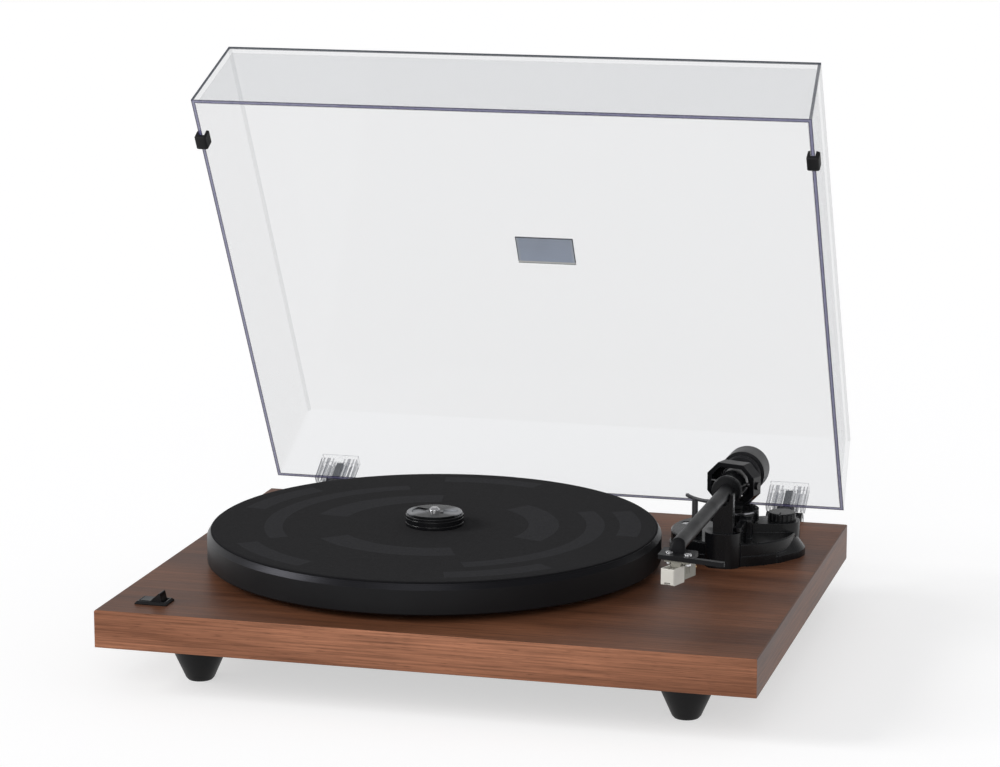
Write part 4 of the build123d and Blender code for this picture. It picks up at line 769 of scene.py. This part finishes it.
def make_socket_acrylic():
    material, tree, shader = clear_sheet("socket_acrylic")
    place = object_place(tree, hinge_point)
    across = maths(tree, "ABSOLUTE", dot_with(tree, place, (1.0, 0.0, 0.0)))
    aside = maths(tree, "ABSOLUTE", maths(tree, "SUBTRACT", across, socket_middle))
    height = dot_with(tree, place, tuple(cover_up))
    corners = corners_from("cover_sockets", hinge_point)
    highest = max(corner.dot(cover_up) for corner in corners)
    streaks = 0.0
    for reach, half_width, strength in SOCKET_STREAKS:
        away = maths(tree, "ABSOLUTE", maths(tree, "SUBTRACT", aside, reach * MM))
        streak = maths(tree, "MULTIPLY", maths(tree, "LESS_THAN", away, half_width * MM), strength)
        streaks = maths(tree, "MAXIMUM", streaks, streak)
    below = maths(tree, "LESS_THAN", height, highest - STREAKS_END)
    streaks = maths(tree, "MULTIPLY", streaks, below)
    edges = place_group(tree, soft_edges, {"Width": SOCKET_EDGE})
    upper = maths(tree, "GREATER_THAN", height, highest - OUTLINE_START)
    outline = maths(tree, "MULTIPLY", edges.outputs["Edge"], upper)
    marks = maths(tree, "MAXIMUM", streaks, outline)
    marked = maths(tree, "GREATER_THAN", marks, 0.01)
    join(tree, blend_colours(tree, marked, SOCKET_PALE, STREAK_TONE),
         shader.inputs["Base Color"])
    film = glancing_film(tree, SOCKET_FILM)
    join(tree, maths(tree, "MAXIMUM", film, marks), shader.inputs["Alpha"])
    return material


dress(make_socket_acrylic(), "cover_sockets")


# %% [markdown]
# ## The plate on the cover
# A small plate is glued to the outside of the cover. It stays blank: satin grey-blue with a
# narrow dark outline. Light and shade are painted on it: it darkens towards its lower edge, that
# edge is pale where it catches the floor's light, and the very bottom of that edge is a thin line
# of painted shade. Seen through the clear sheet its edges are only a pixel or two wide, so they
# are bands in its finish, measured in from the solid's own edges.

# %% Blank plate
PLATE_BLUE = (0.72, 0.80, 0.95)
PLATE_LOW_PAINTED_SHADE = (0.62, 0.70, 0.85)
PLATE_SIDE = (0.82, 0.86, 0.92)
PLATE_OUTLINE = (0.13, 0.14, 0.16)
PLATE_PALE = (1.0, 1.0, 0.98)
PLATE_UNDER_PAINTED_SHADE = (0.30, 0.30, 0.30)
SIDE_BAND = 2.2 * MM
OUTLINE_BAND = 0.6 * MM
PALE_BAND = 1.9 * MM
UNDER_BAND = 0.5 * MM


def make_plate_metal():
    material, tree, shader, tone = hard_finish("plate_metal", PLATE_BLUE, 0.38, 0.2, dust=0.0)
    places = corners_from("cover_badge", hinge_point)
    highest = max(place.dot(cover_front) for place in places)
    lowest = min(place.dot(cover_front) for place in places)
    low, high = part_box("cover_badge")
    half_x = (high.x - low.x) / 2
    across = maths(tree, "ABSOLUTE", dot_with(
        tree, object_place(tree, middle("cover_badge")), (1.0, 0.0, 0.0)))
    forward = dot_with(tree, object_place(tree, hinge_point), tuple(cover_front))
    # Painted shade: the plate darkens towards its lower edge.
    painted_shade_ramp = spread(tree, forward, 0.0, 1.0, lowest, highest)
    tone = blend_colours(tree, painted_shade_ramp, PLATE_LOW_PAINTED_SHADE, tone)
    side = maths(tree, "GREATER_THAN", across, half_x - SIDE_BAND)
    tone = blend_colours(tree, maths(tree, "MULTIPLY", side, 0.5), tone, PLATE_SIDE)
    outline = maths(tree, "MAXIMUM", maths(tree, "GREATER_THAN", across, half_x - OUTLINE_BAND),
                    maths(tree, "GREATER_THAN", forward, highest - OUTLINE_BAND))
    tone = blend_colours(tree, outline, tone, PLATE_OUTLINE)
    # Painted highlight: the lower edge is pale where the floor's light falls.
    pale = maths(tree, "LESS_THAN", forward, lowest + PALE_BAND)
    tone = blend_colours(tree, pale, tone, PLATE_PALE)
    # Painted shade: a thin dark line along the lowest edge.
    painted_under_shade = maths(tree, "LESS_THAN", forward, lowest + UNDER_BAND)
    join(tree, blend_colours(tree, painted_under_shade, tone, PLATE_UNDER_PAINTED_SHADE), shader.inputs["Base Color"])
    return material


dress(make_plate_metal(), "cover_badge")


# %% [markdown]
# ## Turning a shape
# Two round pieces get a finer shape than their solids: the slip mat and the adapter's puck. The
# Screw modifier could turn an outline too, but the mat's top also has to be let down unevenly,
# corner by corner. So one helper turns half a section about an upright axis, and takes that
# unevenness as a value.

# %% Turn a shape from an outline
def circle(count):
    """Cosine and sine of evenly spaced turns."""
    angles = [2 * math.pi * turn / count for turn in range(count)]
    return [(math.cos(angle), math.sin(angle)) for angle in angles]


def into_scene(name, data):
    """Makes an object from a mesh, a lamp or a camera."""
    holder = bpy.data.objects.new(name, data)
    bpy.context.scene.collection.objects.link(holder)
    return holder


def turned_mesh(name, outline, centre, turns, sink=0.0):
    """Closed ring turned about an upright axis from (radius, height) points."""
    mesh = bpy.data.meshes.new(name)
    shape = bmesh.new()
    rings = []
    for radius, height in outline:
        ring = []
        for cosine, sine in circle(turns):
            x = centre.x + radius * cosine
            y = centre.y + radius * sine
            drop = sink * (0.5 + 0.5 * noise.noise(Vector((x, y, 0.0)) * 60.0))
            ring.append(shape.verts.new((x, y, height - drop)))
        rings.append(ring)
    for ring, after in zip(rings, rings[1:] + rings[:1]):
        for step in range(turns):
            ahead = (step + 1) % turns
            face = shape.faces.new((ring[step], ring[ahead], after[ahead], after[step]))
            face.smooth = True
    bmesh.ops.recalc_face_normals(shape, faces=shape.faces)
    shape.to_mesh(mesh)
    shape.free()
    print(name, "has", len(mesh.vertices), "corners")
    return into_scene(name, mesh)


print("the lathe is ready")


# %% [markdown]
# ## The slip mat
# The mat is two millimetres of dense felt, cut round, with a soft edge and a surface that is
# never quite flat. The solid under it is a plain disc. Rounding its edge with a bevel would keep
# the top dead flat, so the mat is turned again, from half a section with a rounded edge, and its
# top is let down by a few hundredths of a millimetre at random.

# %% The mat from its outline
mat_low, mat_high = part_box("platter_mat")
mat_radius = (mat_high.x - mat_low.x) / 2
MAT_HOLE = 4.0 * MM
MAT_ROUND = 0.9 * MM
MAT_LIFT = 0.02 * MM
MAT_SINK = 0.06 * MM
MAT_RINGS = 40
MAT_TURNS = 240


def mat_outline():
    """Half section of the mat: flat below, rounded outside, broken at the hole, ringed on top."""
    bottom, top = mat_low.z + MAT_LIFT, mat_high.z
    points = [(MAT_HOLE, bottom), (mat_radius, bottom)]
    for step in range(5):
        angle = math.radians(step * 22.5)
        points.append((
            mat_radius - MAT_ROUND * (1 - math.cos(angle)),
            top - MAT_ROUND * (1 - math.sin(angle)),
        ))
    reach = mat_radius - MAT_ROUND - MAT_HOLE - MAT_ROUND / 2
    for step in range(1, MAT_RINGS):
        points.append((mat_radius - MAT_ROUND - reach * step / MAT_RINGS, top))
    points.append((MAT_HOLE, top - MAT_ROUND / 2))
    return points


slip_mat = turned_mesh("slip_mat", mat_outline(), platter_axis, MAT_TURNS, MAT_SINK)


# %% [markdown]
# ## The record adapter's puck
# The puck is a black moulding with broken edges. Its solid has a groove nearly a millimetre deep
# round the side, where the real one shows only two fine lines. A bump could draw them, but they
# also nick the outline, so the puck is turned again like the mat, with two shallow notches.

# %% Turn the adapter's puck
puck_low, puck_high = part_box("adapter_body")
puck_radius = (puck_high.x - puck_low.x) / 2
PUCK_BORE = 4.0 * MM
PUCK_EDGE = 0.35 * MM
PUCK_LINE = 0.22 * MM
PUCK_LINES = (0.30, 0.74)
PUCK_TURNS = 96
CREASE = math.radians(30)


def puck_outline():
    """Half section of the puck: broken edges and two fine lines round the side."""
    height = puck_high.z - puck_low.z
    points = [
        (PUCK_BORE, puck_low.z),
        (puck_radius - PUCK_EDGE, puck_low.z),
        (puck_radius, puck_low.z + PUCK_EDGE),
    ]
    for share in PUCK_LINES:
        level = puck_low.z + share * height
        points.append((puck_radius, level - PUCK_LINE))
        points.append((puck_radius - PUCK_LINE, level))
        points.append((puck_radius, level + PUCK_LINE))
    points.append((puck_radius, puck_high.z - PUCK_EDGE))
    points.append((puck_radius - PUCK_EDGE, puck_high.z))
    points.append((PUCK_BORE, puck_high.z))
    return points


adapter_puck = turned_mesh("adapter_puck", puck_outline(), platter_axis, PUCK_TURNS)
adapter_puck.data.set_sharp_from_angle(angle=CREASE)
adapter_puck.data.materials.append(nodes["adapter_body"].data.materials[0])
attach(adapter_puck, "adapter")
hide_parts("adapter_body")


# %% [markdown]
# ## Felt
# Felt is a tangle of short fibres. Hair strands could make them one by one, at a great cost for
# a surface that is seen from two metres away. Two noises do: one for single fibres, far finer
# than a millimetre, and one for tufts. Sheen gives the pale bloom that cloth shows when it is
# seen at a low angle. The print is a shade lighter than the felt: broken rings of a plain kind.

# %% Felt with a tone-on-tone print
FELT = (0.0082, 0.0080, 0.0090)
FELT_PRINT = (0.0165, 0.0165, 0.0185)
FELT_DEPTH = 0.15 * MM
PRINT_RINGS = ((62.0, 82.0, 3.0, 0.6, -0.35), (100.0, 112.0, 2.0, 2.1, -0.15),
               (122.0, 136.0, 5.0, 0.2, 0.25))


def print_mask(tree):
    """Broken rings: inner and outer radius in millimetres, breaks, their turn and threshold."""
    place = axes_of(tree, object_place(tree, platter_axis))
    angle = maths(tree, "ARCTAN2", place["Y"], place["X"])
    across = maths(tree, "MULTIPLY", place["X"], place["X"])
    along = maths(tree, "MULTIPLY", place["Y"], place["Y"])
    radius = maths(tree, "SQRT", maths(tree, "ADD", across, along))
    mask = None
    for inner, outer, breaks, turn, threshold in PRINT_RINGS:
        beyond = maths(tree, "GREATER_THAN", radius, inner * MM)
        within = maths(tree, "LESS_THAN", radius, outer * MM)
        phase = maths(tree, "ADD", maths(tree, "MULTIPLY", angle, breaks), turn)
        printed = maths(tree, "GREATER_THAN", maths(tree, "SINE", phase), threshold)
        ring = maths(tree, "MULTIPLY", maths(tree, "MULTIPLY", beyond, within), printed)
        mask = ring if mask is None else maths(tree, "MAXIMUM", mask, ring)
    return mask


def make_felt():
    material, tree, shader = new_material("felt")
    shader.inputs["Roughness"].default_value = 0.95
    shader.inputs["Sheen Weight"].default_value = 0.03
    shader.inputs["Sheen Roughness"].default_value = 0.5
    shader.inputs["Specular IOR Level"].default_value = 0.05
    fibres = noise_at(tree, object_place(tree), {"Scale": 2200.0, "Detail": 4.0})
    tufts = noise_at(tree, object_place(tree), {"Scale": 420.0, "Detail": 3.0})
    tone = blend_colours(tree, print_mask(tree), FELT, FELT_PRINT)
    speck = spread(tree, fibres, 0.55, 1.7, 0.3, 0.7)
    tone = blend_colours(tree, 1.0, tone, grey(tree, speck), "MULTIPLY")
    join(tree, tone, shader.inputs["Base Color"])
    relief = maths(tree, "ADD", fibres, maths(tree, "MULTIPLY", tufts, 1.5))
    bump = add(tree, "ShaderNodeBump", None, {"Strength": 0.8, "Distance": FELT_DEPTH})
    join(tree, relief, bump.inputs["Height"])
    join(tree, bump.outputs["Normal"], shader.inputs["Normal"])
    return material


slip_mat.data.materials.append(make_felt())
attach(slip_mat, "platter")
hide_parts("platter_mat")
nodes["platter_mat"].data.materials.clear()
nodes["platter_mat"].data.materials.append(slip_mat.data.materials[0])
print(slip_mat.name, "wears", slip_mat.data.materials[0].name)


# %% [markdown]
# ## Forms that the solids leave plain
# A few small moulded forms are finer than the solids under them: the hinge tongue narrows
# inside its socket, the bumpers are rounded, the headshell grows out of the tube without a
# step, the feet taper more and the rocker's top is lower. A dark wall inside the yoke stands in
# for the shade there. Each is made from its solid's own corners or from places in the frame, and
# takes the solid's finish and its joint. Two helpers serve them all: one makes the object, one
# skins a row of rings.

# %% Helpers for small pieces
MERGE = 1e-7


def add_piece(name, shape, like, body, instead=True):
    """Makes an object from a bmesh, with the finish of a node, on a body of the frame."""
    bmesh.ops.recalc_face_normals(shape, faces=shape.faces)
    mesh = bpy.data.meshes.new(name)
    for face in shape.faces:
        face.smooth = True
    for edge in shape.edges:
        edge.smooth = edge.calc_face_angle(0.0) < CREASE
    shape.to_mesh(mesh)
    shape.free()
    for material in nodes[like].data.materials:
        mesh.materials.append(material)
    piece = into_scene(name, mesh)
    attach(piece, body)
    if instead:
        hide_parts(like)
    print(name, "has", len(mesh.vertices), "corners")


def loft_rings(shape, rings, closed_ends=True):
    """Skins a row of rings of places, each with as many places as the others."""
    rows = [[shape.verts.new(place) for place in ring] for ring in rings]
    for row, after in zip(rows, rows[1:]):
        for step in range(len(row)):
            ahead = (step + 1) % len(row)
            shape.faces.new((row[step], row[ahead], after[ahead], after[step]))
    if closed_ends:
        shape.faces.new(rows[0])
        shape.faces.new(rows[-1])


# %% [markdown]
# ## Hinge tongues
# A tongue goes up from each hinge into the clear socket, and shows through it as a dark strip
# that is much narrower than its root. A new strip would have to be fitted to the root, so the
# solid itself is cut across just above the root, and all that lies above is drawn in.

# %% Narrow hinge tongues
TONGUE_ROOT = 3.0 * MM
TONGUE_STEP = 0.3 * MM
TONGUE_SHARE = 0.42


def make_hinge_tongues():
    shape = bmesh.new()
    shape.from_mesh(nodes["hinge_arms"].data)
    rim = walls["height"][0]
    for lift in (TONGUE_ROOT, TONGUE_ROOT + TONGUE_STEP):
        bmesh.ops.bisect_plane(
            shape, geom=shape.verts[:] + shape.edges[:] + shape.faces[:], dist=1e-6,
            plane_co=hinge_point + cover_up * (rim + lift), plane_no=cover_up,
        )
    for corner in shape.verts:
        height = (corner.co - hinge_point).dot(cover_up) - rim
        if height > TONGUE_ROOT + TONGUE_STEP / 2:
            side = math.copysign(1.0, corner.co.x)
            centre = side * socket_middle
            corner.co.x = centre + (corner.co.x - centre) * TONGUE_SHARE
    add_piece("hinge_tongues", shape, "hinge_arms", "cover")


make_hinge_tongues()


# %% [markdown]
# ## Rim bumpers
# Two rubber bumpers sit astride the cover's side rims. Rubber is moulded, so every outer edge
# is round, while the slot for the sheet stays square. The Bevel modifier would round the slot
# too. So one section is drawn with round corners only where they belong, and lofted along the
# rim with both ends drawn in a little.

# %% Rounded bumpers
BUMPER_GRIP = 5.4 * MM
BUMPER_PROUD = 2.7 * MM
BUMPER_LEG = 5.4 * MM
BUMPER_HALF = 5.1 * MM
BUMPER_ROUND = 1.2 * MM
BUMPER_EASE = 0.1 * MM
BUMPER_RINGS = ((-1.0, 0.86), (-0.88, 1.0), (0.88, 1.0), (1.0, 0.86))


def bumper_profile(rim, foot, wall_out, wall_in):
    """Section across the rim: rounded outside, with the slot for the cover's wall."""
    leg = rim + BUMPER_LEG
    outside = wall_out + BUMPER_PROUD
    inside = wall_out - BUMPER_GRIP
    points = []
    for x, height, start in ((outside, leg, 90), (outside, foot, 0), (inside, foot, -90)):
        sign_x = -1 if x == outside else 1
        sign_up = -1 if height == leg else 1
        for step in range(4):
            angle = math.radians(start - 30 * step)
            points.append((x + sign_x * BUMPER_ROUND + BUMPER_ROUND * math.cos(angle),
                           height + sign_up * BUMPER_ROUND + BUMPER_ROUND * math.sin(angle), 1))
    slot_in = wall_in - 6 * BUMPER_EASE
    slot_out = wall_out + BUMPER_EASE
    points += [(inside, leg, 1), (slot_in, leg, 0), (slot_in, rim - BUMPER_EASE, 0),
               (slot_out, rim - BUMPER_EASE, 0), (slot_out, leg, 0)]
    return points


def make_bumpers():
    places = corners_from("cover_bumpers", hinge_point)
    forward = [place.dot(cover_front) for place in places]
    centre = (min(forward) + max(forward)) / 2
    foot = min(place.dot(cover_up) for place in places)
    rim = walls["height"][0]
    wall_out = walls["side"][0]
    wall_in = max(abs(corner.x) for corner in corners_from("dust_cover", hinge_point)
                  if corner.dot(cover_up) < rim + MM and abs(corner.x) < wall_out - MM)
    profile = bumper_profile(rim, foot, wall_out, wall_in)
    middle_x = wall_out + (BUMPER_PROUD - BUMPER_GRIP) / 2
    middle_up = (foot + rim + BUMPER_LEG) / 2
    shape = bmesh.new()
    for side in (-1, 1):
        rings = []
        for along, shrink in BUMPER_RINGS:
            ring = []
            for x, height, outer in profile:
                share = shrink if outer else 1.0
                x = middle_x + (x - middle_x) * share
                height = middle_up + (height - middle_up) * share
                ring.append(hinge_point + Vector((side * x - hinge_point.x, 0.0, 0.0))
                            + cover_front * (centre + along * BUMPER_HALF) + cover_up * height)
            rings.append(ring)
        loft_rings(shape, rings)
    add_piece("rounded_bumpers", shape, "cover_bumpers", "cover")


make_bumpers()


# %% [markdown]
# ## Headshell
# The round tube flattens into the plate that carries the cartridge, over about a centimetre.
# The solid has a plain sleeve there. A boolean union would leave its step, so the sleeve's faces
# are taken off, and a nose is lofted from the tube's circle to a flat oval inside the plate,
# eased at both ends.

# %% Headshell that grows out of the tube
NOSE_START = 1.0 * MM
NOSE_HALF_WIDTH = 5.6 * MM
NOSE_HALF_HEIGHT = 1.2 * MM
NOSE_REACH = 8.0 * MM
NOSE_GAP = 1.5 * MM
NOSE_ROUNDS = 36
NOSE_STEPS = 8
SLEEVE_WALL = 1.0 * MM
SLEEVE_PAST_TUBE = 2.1 * MM
PLATE_AWAY = 12.0 * MM
TUBE_TIP = 5.0 * MM


def arm_reach(place):
    """How far along the arm a place lies, and how far from the arm's line."""
    offset = Vector(place) - arm_pivot
    station = offset.dot(arm_forward)
    return station, (offset - arm_forward * station).length


def make_headshell_form():
    tube = [arm_reach(corner.co) for corner in nodes["arm_tube"].data.vertices]
    tube_end = max(station for station, away in tube)
    tube_radius = max(away for station, away in tube if station > tube_end - TUBE_TIP)
    screws = [arm_reach(corner.co)[0] for corner in nodes["cartridge_screws"].data.vertices]
    shell = nodes["headshell"].data
    levels = [(Vector(corner.co) - arm_pivot).dot(arm_up) for corner in shell.vertices
              if arm_reach(corner.co)[1] > PLATE_AWAY]
    level = (min(levels) + max(levels)) / 2
    print("tube ends at", round(tube_end / MM, 1), "screws start at", round(min(screws) / MM, 1),
          "plate lies at", round(level / MM, 1))
    nose_end = min(min(screws) - NOSE_GAP, tube_end + NOSE_REACH)
    shape = bmesh.new()
    shape.from_mesh(shell)
    sleeve = [
        face for face in shape.faces
        if all(arm_reach(corner.co)[1] < tube_radius + SLEEVE_WALL
               and arm_reach(corner.co)[0] < tube_end + SLEEVE_PAST_TUBE
               for corner in face.verts)
    ]
    bmesh.ops.delete(shape, geom=sleeve, context="FACES")
    rings = []
    for step in range(NOSE_STEPS + 1):
        share = step / NOSE_STEPS
        eased = share * share * (3 - 2 * share)
        station = tube_end - NOSE_START + (nose_end - tube_end + NOSE_START) * share
        half_width = tube_radius + (NOSE_HALF_WIDTH - tube_radius) * eased
        half_height = tube_radius + (NOSE_HALF_HEIGHT - tube_radius) * eased
        centre = arm_pivot + arm_forward * station + arm_up * (level * eased)
        rings.append([
            centre + arm_side * (half_width * cosine) + arm_up * (half_height * sine)
            for cosine, sine in circle(NOSE_ROUNDS)
        ])
    loft_rings(shape, rings)
    add_piece("headshell_form", shape, "headshell", "arm")


make_headshell_form()


# %% [markdown]
# ## Feet
# The feet are black cones, wide under the plinth and narrow at the floor, with a broken lower
# edge and a recess for the screw. Their sides slope more than the solid's. Scaling the solid's
# lower ring would bend the recess as well, so each foot is turned from one outline, given as
# radius and height in millimetres: up the outside first, then down inside the recess.

# %% Feet with a stronger taper
FOOT_OUTLINE = ((5.0, 0.0), (7.8, 0.0), (9.2, 1.6), (19.2, 24.0), (20.0, 26.5), (20.0, 30.0),
                (2.1, 30.0), (2.1, 12.0), (5.0, 12.0))
FOOT_TURNS = 64


def make_tapered_feet():
    """Turns the four feet round the middles of the solid's; the recess leaves the screw free."""
    corners = corners_from("feet")
    shape = bmesh.new()
    for side_x in (-1, 1):
        for side_y in (-1, 1):
            own = [c for c in corners if c.x * side_x > 0 and c.y * side_y > 0]
            centre_x = (min(c.x for c in own) + max(c.x for c in own)) / 2
            centre_y = (min(c.y for c in own) + max(c.y for c in own)) / 2
            rings = []
            for radius, height in FOOT_OUTLINE + FOOT_OUTLINE[:1]:
                rings.append([
                    (centre_x + radius * MM * cosine, centre_y + radius * MM * sine, height * MM)
                    for cosine, sine in circle(FOOT_TURNS)
                ])
            loft_rings(shape, rings, closed_ends=False)
    bmesh.ops.remove_doubles(shape, verts=shape.verts, dist=MERGE)
    add_piece("tapered_feet", shape, "feet", "root")


make_tapered_feet()


# %% [markdown]
# ## Rocker
# The power switch is a rocker with a shallow V for a top. At rest one end is pressed in, level
# with the bezel, and the other stands up. The solid's top is a little high at the pressed end.
# The two tops are given as heights over the pin, in millimetres, at the left end, the middle
# and the right end, and every corner of the top is let down by their ratio, so that the rocker
# keeps its own sides, pins and rounded edges.

# %% Lower rocker
ROCKER_HALF = 7.2
ROCKER_OLD = (7.2, 5.4, 7.2)
ROCKER_NEW = (5.2, 3.4, 7.2)
ROCKER_FROM = 2.5


def rocker_height(heights, x):
    """Height of a V-shaped top at a place along the rocker, in millimetres."""
    share = min(abs(x) / ROCKER_HALF, 1.0)
    end = heights[2] if x > 0 else heights[0]
    return heights[1] + (end - heights[1]) * share


def make_low_rocker():
    """The solid's own shape, with its top let down except at the end that stands up."""
    joint = joint_named("power_rocker_tilt")
    pivot = Vector(joint["pos_m"])
    tilt = math.radians(joint["range_deg"][1] / 2)
    shape = bmesh.new()
    shape.from_mesh(nodes["power_rocker"].data)
    for corner in shape.verts:
        x, z = corner.co.x - pivot.x, corner.co.z - pivot.z
        level_x = (x * math.cos(tilt) + z * math.sin(tilt)) / MM
        level_z = (z * math.cos(tilt) - x * math.sin(tilt)) / MM
        if level_z > ROCKER_FROM:
            level_z *= rocker_height(ROCKER_NEW, level_x) / rocker_height(ROCKER_OLD, level_x)
            corner.co.x = pivot.x + (level_x * math.cos(tilt) - level_z * math.sin(tilt)) * MM
            corner.co.z = pivot.z + (level_x * math.sin(tilt) + level_z * math.cos(tilt)) * MM
    add_piece("low_rocker", shape, "power_rocker", "rocker")


make_low_rocker()


# %% [markdown]
# ## Shade wall inside the yoke
# The eight-sided yoke round the arm is open at the front, and inside it shows only shade. The
# solid is open at both ends, and white light would shine through it. So a dark wall is set in
# its rear end as painted shade, with a hole that the bearing housing passes. A wall cut out of a
# box would need the yoke's corners again, so it is drawn as a ring: its outside follows the
# yoke's eight sides by the nearest of three limits, its inside is a circle round the arm's line.

# %% Dark plate behind the arm, as painted shade
YOKE_BACK = 5.0 * MM
YOKE_WALL = 2.0 * MM
YOKE_HOLE = 10.6 * MM
YOKE_CORNER = 8.0 * MM
YOKE_EASE = 0.4 * MM
YOKE_TURNS = 48
TINY = 1e-9


def make_yoke_shade_wall():
    """Dark plate inside the yoke's rear end as painted shade, with a hole that the bearing housing
    passes.
    """
    pins = corners_from("gimbal_pins", arm_pivot)
    right = [place for place in pins if place.x > 0]
    left = [place for place in pins if place.x < 0]
    across = (sum(right, Vector()) / len(right) - sum(left, Vector()) / len(left)).normalized()
    across.z = 0.0
    across.normalize()
    rearward = Vector((0.0, 0.0, 1.0)).cross(across)
    if rearward.dot(arm_forward) > 0:
        rearward.negate()
    ring = corners_from("gimbal_ring", arm_pivot)
    half_width = max(abs(place.dot(across)) for place in ring if abs(place.z) < 4 * MM)
    half_height = max(place.z for place in ring)
    axis_shift = -arm_forward * (YOKE_BACK - YOKE_WALL / 2) / abs(arm_forward.dot(rearward))
    shape = bmesh.new()
    outer, inner = [], []
    for x, z in circle(YOKE_TURNS):
        reach = min(
            half_width / max(abs(x), TINY),
            half_height / max(abs(z), TINY),
            (half_width + half_height - YOKE_CORNER) / (abs(x) + abs(z)),
        ) - YOKE_EASE
        outer.append((x * reach, z * reach))
        inner.append((axis_shift.dot(across) + x * YOKE_HOLE, axis_shift.z + z * YOKE_HOLE))
    rings = []
    for outline, depth in ((inner, YOKE_BACK), (outer, YOKE_BACK),
                           (outer, YOKE_BACK - YOKE_WALL), (inner, YOKE_BACK - YOKE_WALL)):
        rings.append([
            arm_pivot + across * x + rearward * depth + Vector((0.0, 0.0, z))
            for x, z in outline
        ])
    loft_rings(shape, rings + rings[:1], closed_ends=False)
    bmesh.ops.remove_doubles(shape, verts=shape.verts, dist=MERGE)
    # This dark wall is painted shade: it keeps the inside of the yoke as dark as shade.
    add_piece("yoke_shade_wall", shape, "gimbal_ring", "arm_yaw", instead=False)


make_yoke_shade_wall()


# %% [markdown]
# ## Floor
# The picture is taken on a white sweep. A floor bright enough to read as white by light alone
# would wash the shadow out and light the part from below. So the floor is a mid-grey matt sheet
# that also glows, but only to the camera and in mirrors: it is white where the light is full,
# and keeps the shadow where it isn't.

# %% The floor
FLOOR_SPAN = 60.0
FLOOR_GREY = 0.56
FLOOR_GLOW = 0.56


def light_path_value(tree):
    """1 for camera, mirror and see-through rays, 0 for the rays that light the part."""
    path = add(tree, "ShaderNodeLightPath")
    seen = maths(tree, "MAXIMUM", path.outputs["Is Camera Ray"], path.outputs["Is Glossy Ray"])
    return maths(tree, "MAXIMUM", seen, path.outputs["Is Transmission Ray"])


def make_floor():
    mesh = bpy.data.meshes.new("floor")
    half = FLOOR_SPAN / 2
    corners = [(-half, -half, 0), (half, -half, 0), (half, half, 0), (-half, half, 0)]
    mesh.from_pydata(corners, [], [(0, 1, 2, 3)])
    material, tree, shader = new_material("floor_sheet")
    shader.inputs["Base Color"].default_value = (FLOOR_GREY, FLOOR_GREY, FLOOR_GREY, 1.0)
    shader.inputs["Roughness"].default_value = 1.0
    shader.inputs["Specular IOR Level"].default_value = 0.0
    shader.inputs["Emission Color"].default_value = (1.0, 1.0, 1.0, 1.0)
    glow = maths(tree, "MULTIPLY", light_path_value(tree), FLOOR_GLOW)
    join(tree, glow, shader.inputs["Emission Strength"])
    mesh.materials.append(material)
    floor = into_scene("floor", mesh)


make_floor()
print("floor laid,", FLOOR_SPAN, "m wide")


# %% [markdown]
# ## Lamps
# The studio has a big soft box at the left and weaker fill from the front. Area lamps would
# fade across the wide floor and burn a spot into it, and a sun lights near and far alike. So
# each box is a sun whose disc is as wide, in degrees, as the box looks from the part: the wider
# it is, the softer the shadow's edge.

# %% Two suns for the soft boxes
def sun(name, azimuth, elevation, strength, softness):
    """A sun that shines from a compass direction, counted from the front to the right."""
    lamp = bpy.data.lights.new(name, "SUN")
    lamp.energy = strength
    lamp.angle = math.radians(softness)
    holder = into_scene(name, lamp)
    around, up = math.radians(azimuth), math.radians(elevation)
    level = math.cos(up)
    toward = Vector((math.sin(around) * level, -math.cos(around) * level, math.sin(up)))
    holder.rotation_mode = "QUATERNION"
    holder.rotation_quaternion = toward.to_track_quat("Z", "Y")
    print(name, "from", azimuth, "degrees at", elevation, "up")


sun("left_soft_box", -72.0, 29.0, 1.45, 24.0)
sun("front_soft_box", 5.0, 28.0, 0.95, 45.0)


# %% [markdown]
# ## World
# The walls of the studio are white and its ceiling is dark. A plain white world would put a pale
# veil on every black surface that looks up, so the world goes from pale at the horizon to
# dark grey overhead. The camera itself sees plain white behind the floor.

# %% The world
WORLD_LOW = (0.05, (0.82, 0.82, 0.82, 1.0))
WORLD_HIGH = (0.75, (0.32, 0.32, 0.33, 1.0))


def make_world():
    world = bpy.data.worlds.new("studio")
    bpy.context.scene.world = world
    world.use_nodes = True
    tree = world.node_tree
    background = tree.nodes["Background"]
    direction = add(tree, "ShaderNodeTexCoord").outputs["Generated"]
    shade = add(tree, "ShaderNodeValToRGB")
    for stop, (height, tone) in zip(shade.color_ramp.elements, (WORLD_LOW, WORLD_HIGH)):
        stop.position = height
        stop.color = tone
    join(tree, axes_of(tree, direction)["Z"], shade.inputs["Fac"])
    path = add(tree, "ShaderNodeLightPath")
    colour = blend_colours(tree, path.outputs["Is Camera Ray"], shade.outputs["Color"],
                           (1.0, 1.0, 1.0))
    join(tree, colour, background.inputs["Color"])
    background.inputs["Strength"].default_value = 1.0
    print(world.name, "fades from", WORLD_LOW[1][0], "to", WORLD_HIGH[1][0])


make_world()


# %% [markdown]
# ## The camera
# A long lens from a little above the deck and to its right, about two metres away. It could be
# placed by eye, but a small error in it bends every outline. So place, turn and focal length
# were worked out from the edges of the plinth and the rim of the platter, whose sizes are known.

# %% The camera
CAMERA_PLACE = (0.53826, -1.98683, 0.59771)
CAMERA_TILT = 78.421
CAMERA_TURN = 14.968
FOCAL_LENGTH = 116.35
SENSOR_WIDTH = 36.0
NEAREST = 0.01
FARTHEST = 200.0


def make_camera():
    camera = bpy.data.cameras.new("camera")
    camera.lens = FOCAL_LENGTH
    camera.sensor_width = SENSOR_WIDTH
    camera.clip_start = NEAREST
    camera.clip_end = FARTHEST
    holder = into_scene("camera", camera)
    holder.location = CAMERA_PLACE
    holder.rotation_euler = (math.radians(CAMERA_TILT), 0.0, math.radians(CAMERA_TURN))
    bpy.context.scene.camera = holder
    print("camera stands", round(Vector(CAMERA_PLACE).length, 2), "m from the part's middle")


make_camera()
bpy.context.scene.view_settings.view_transform = "Standard"
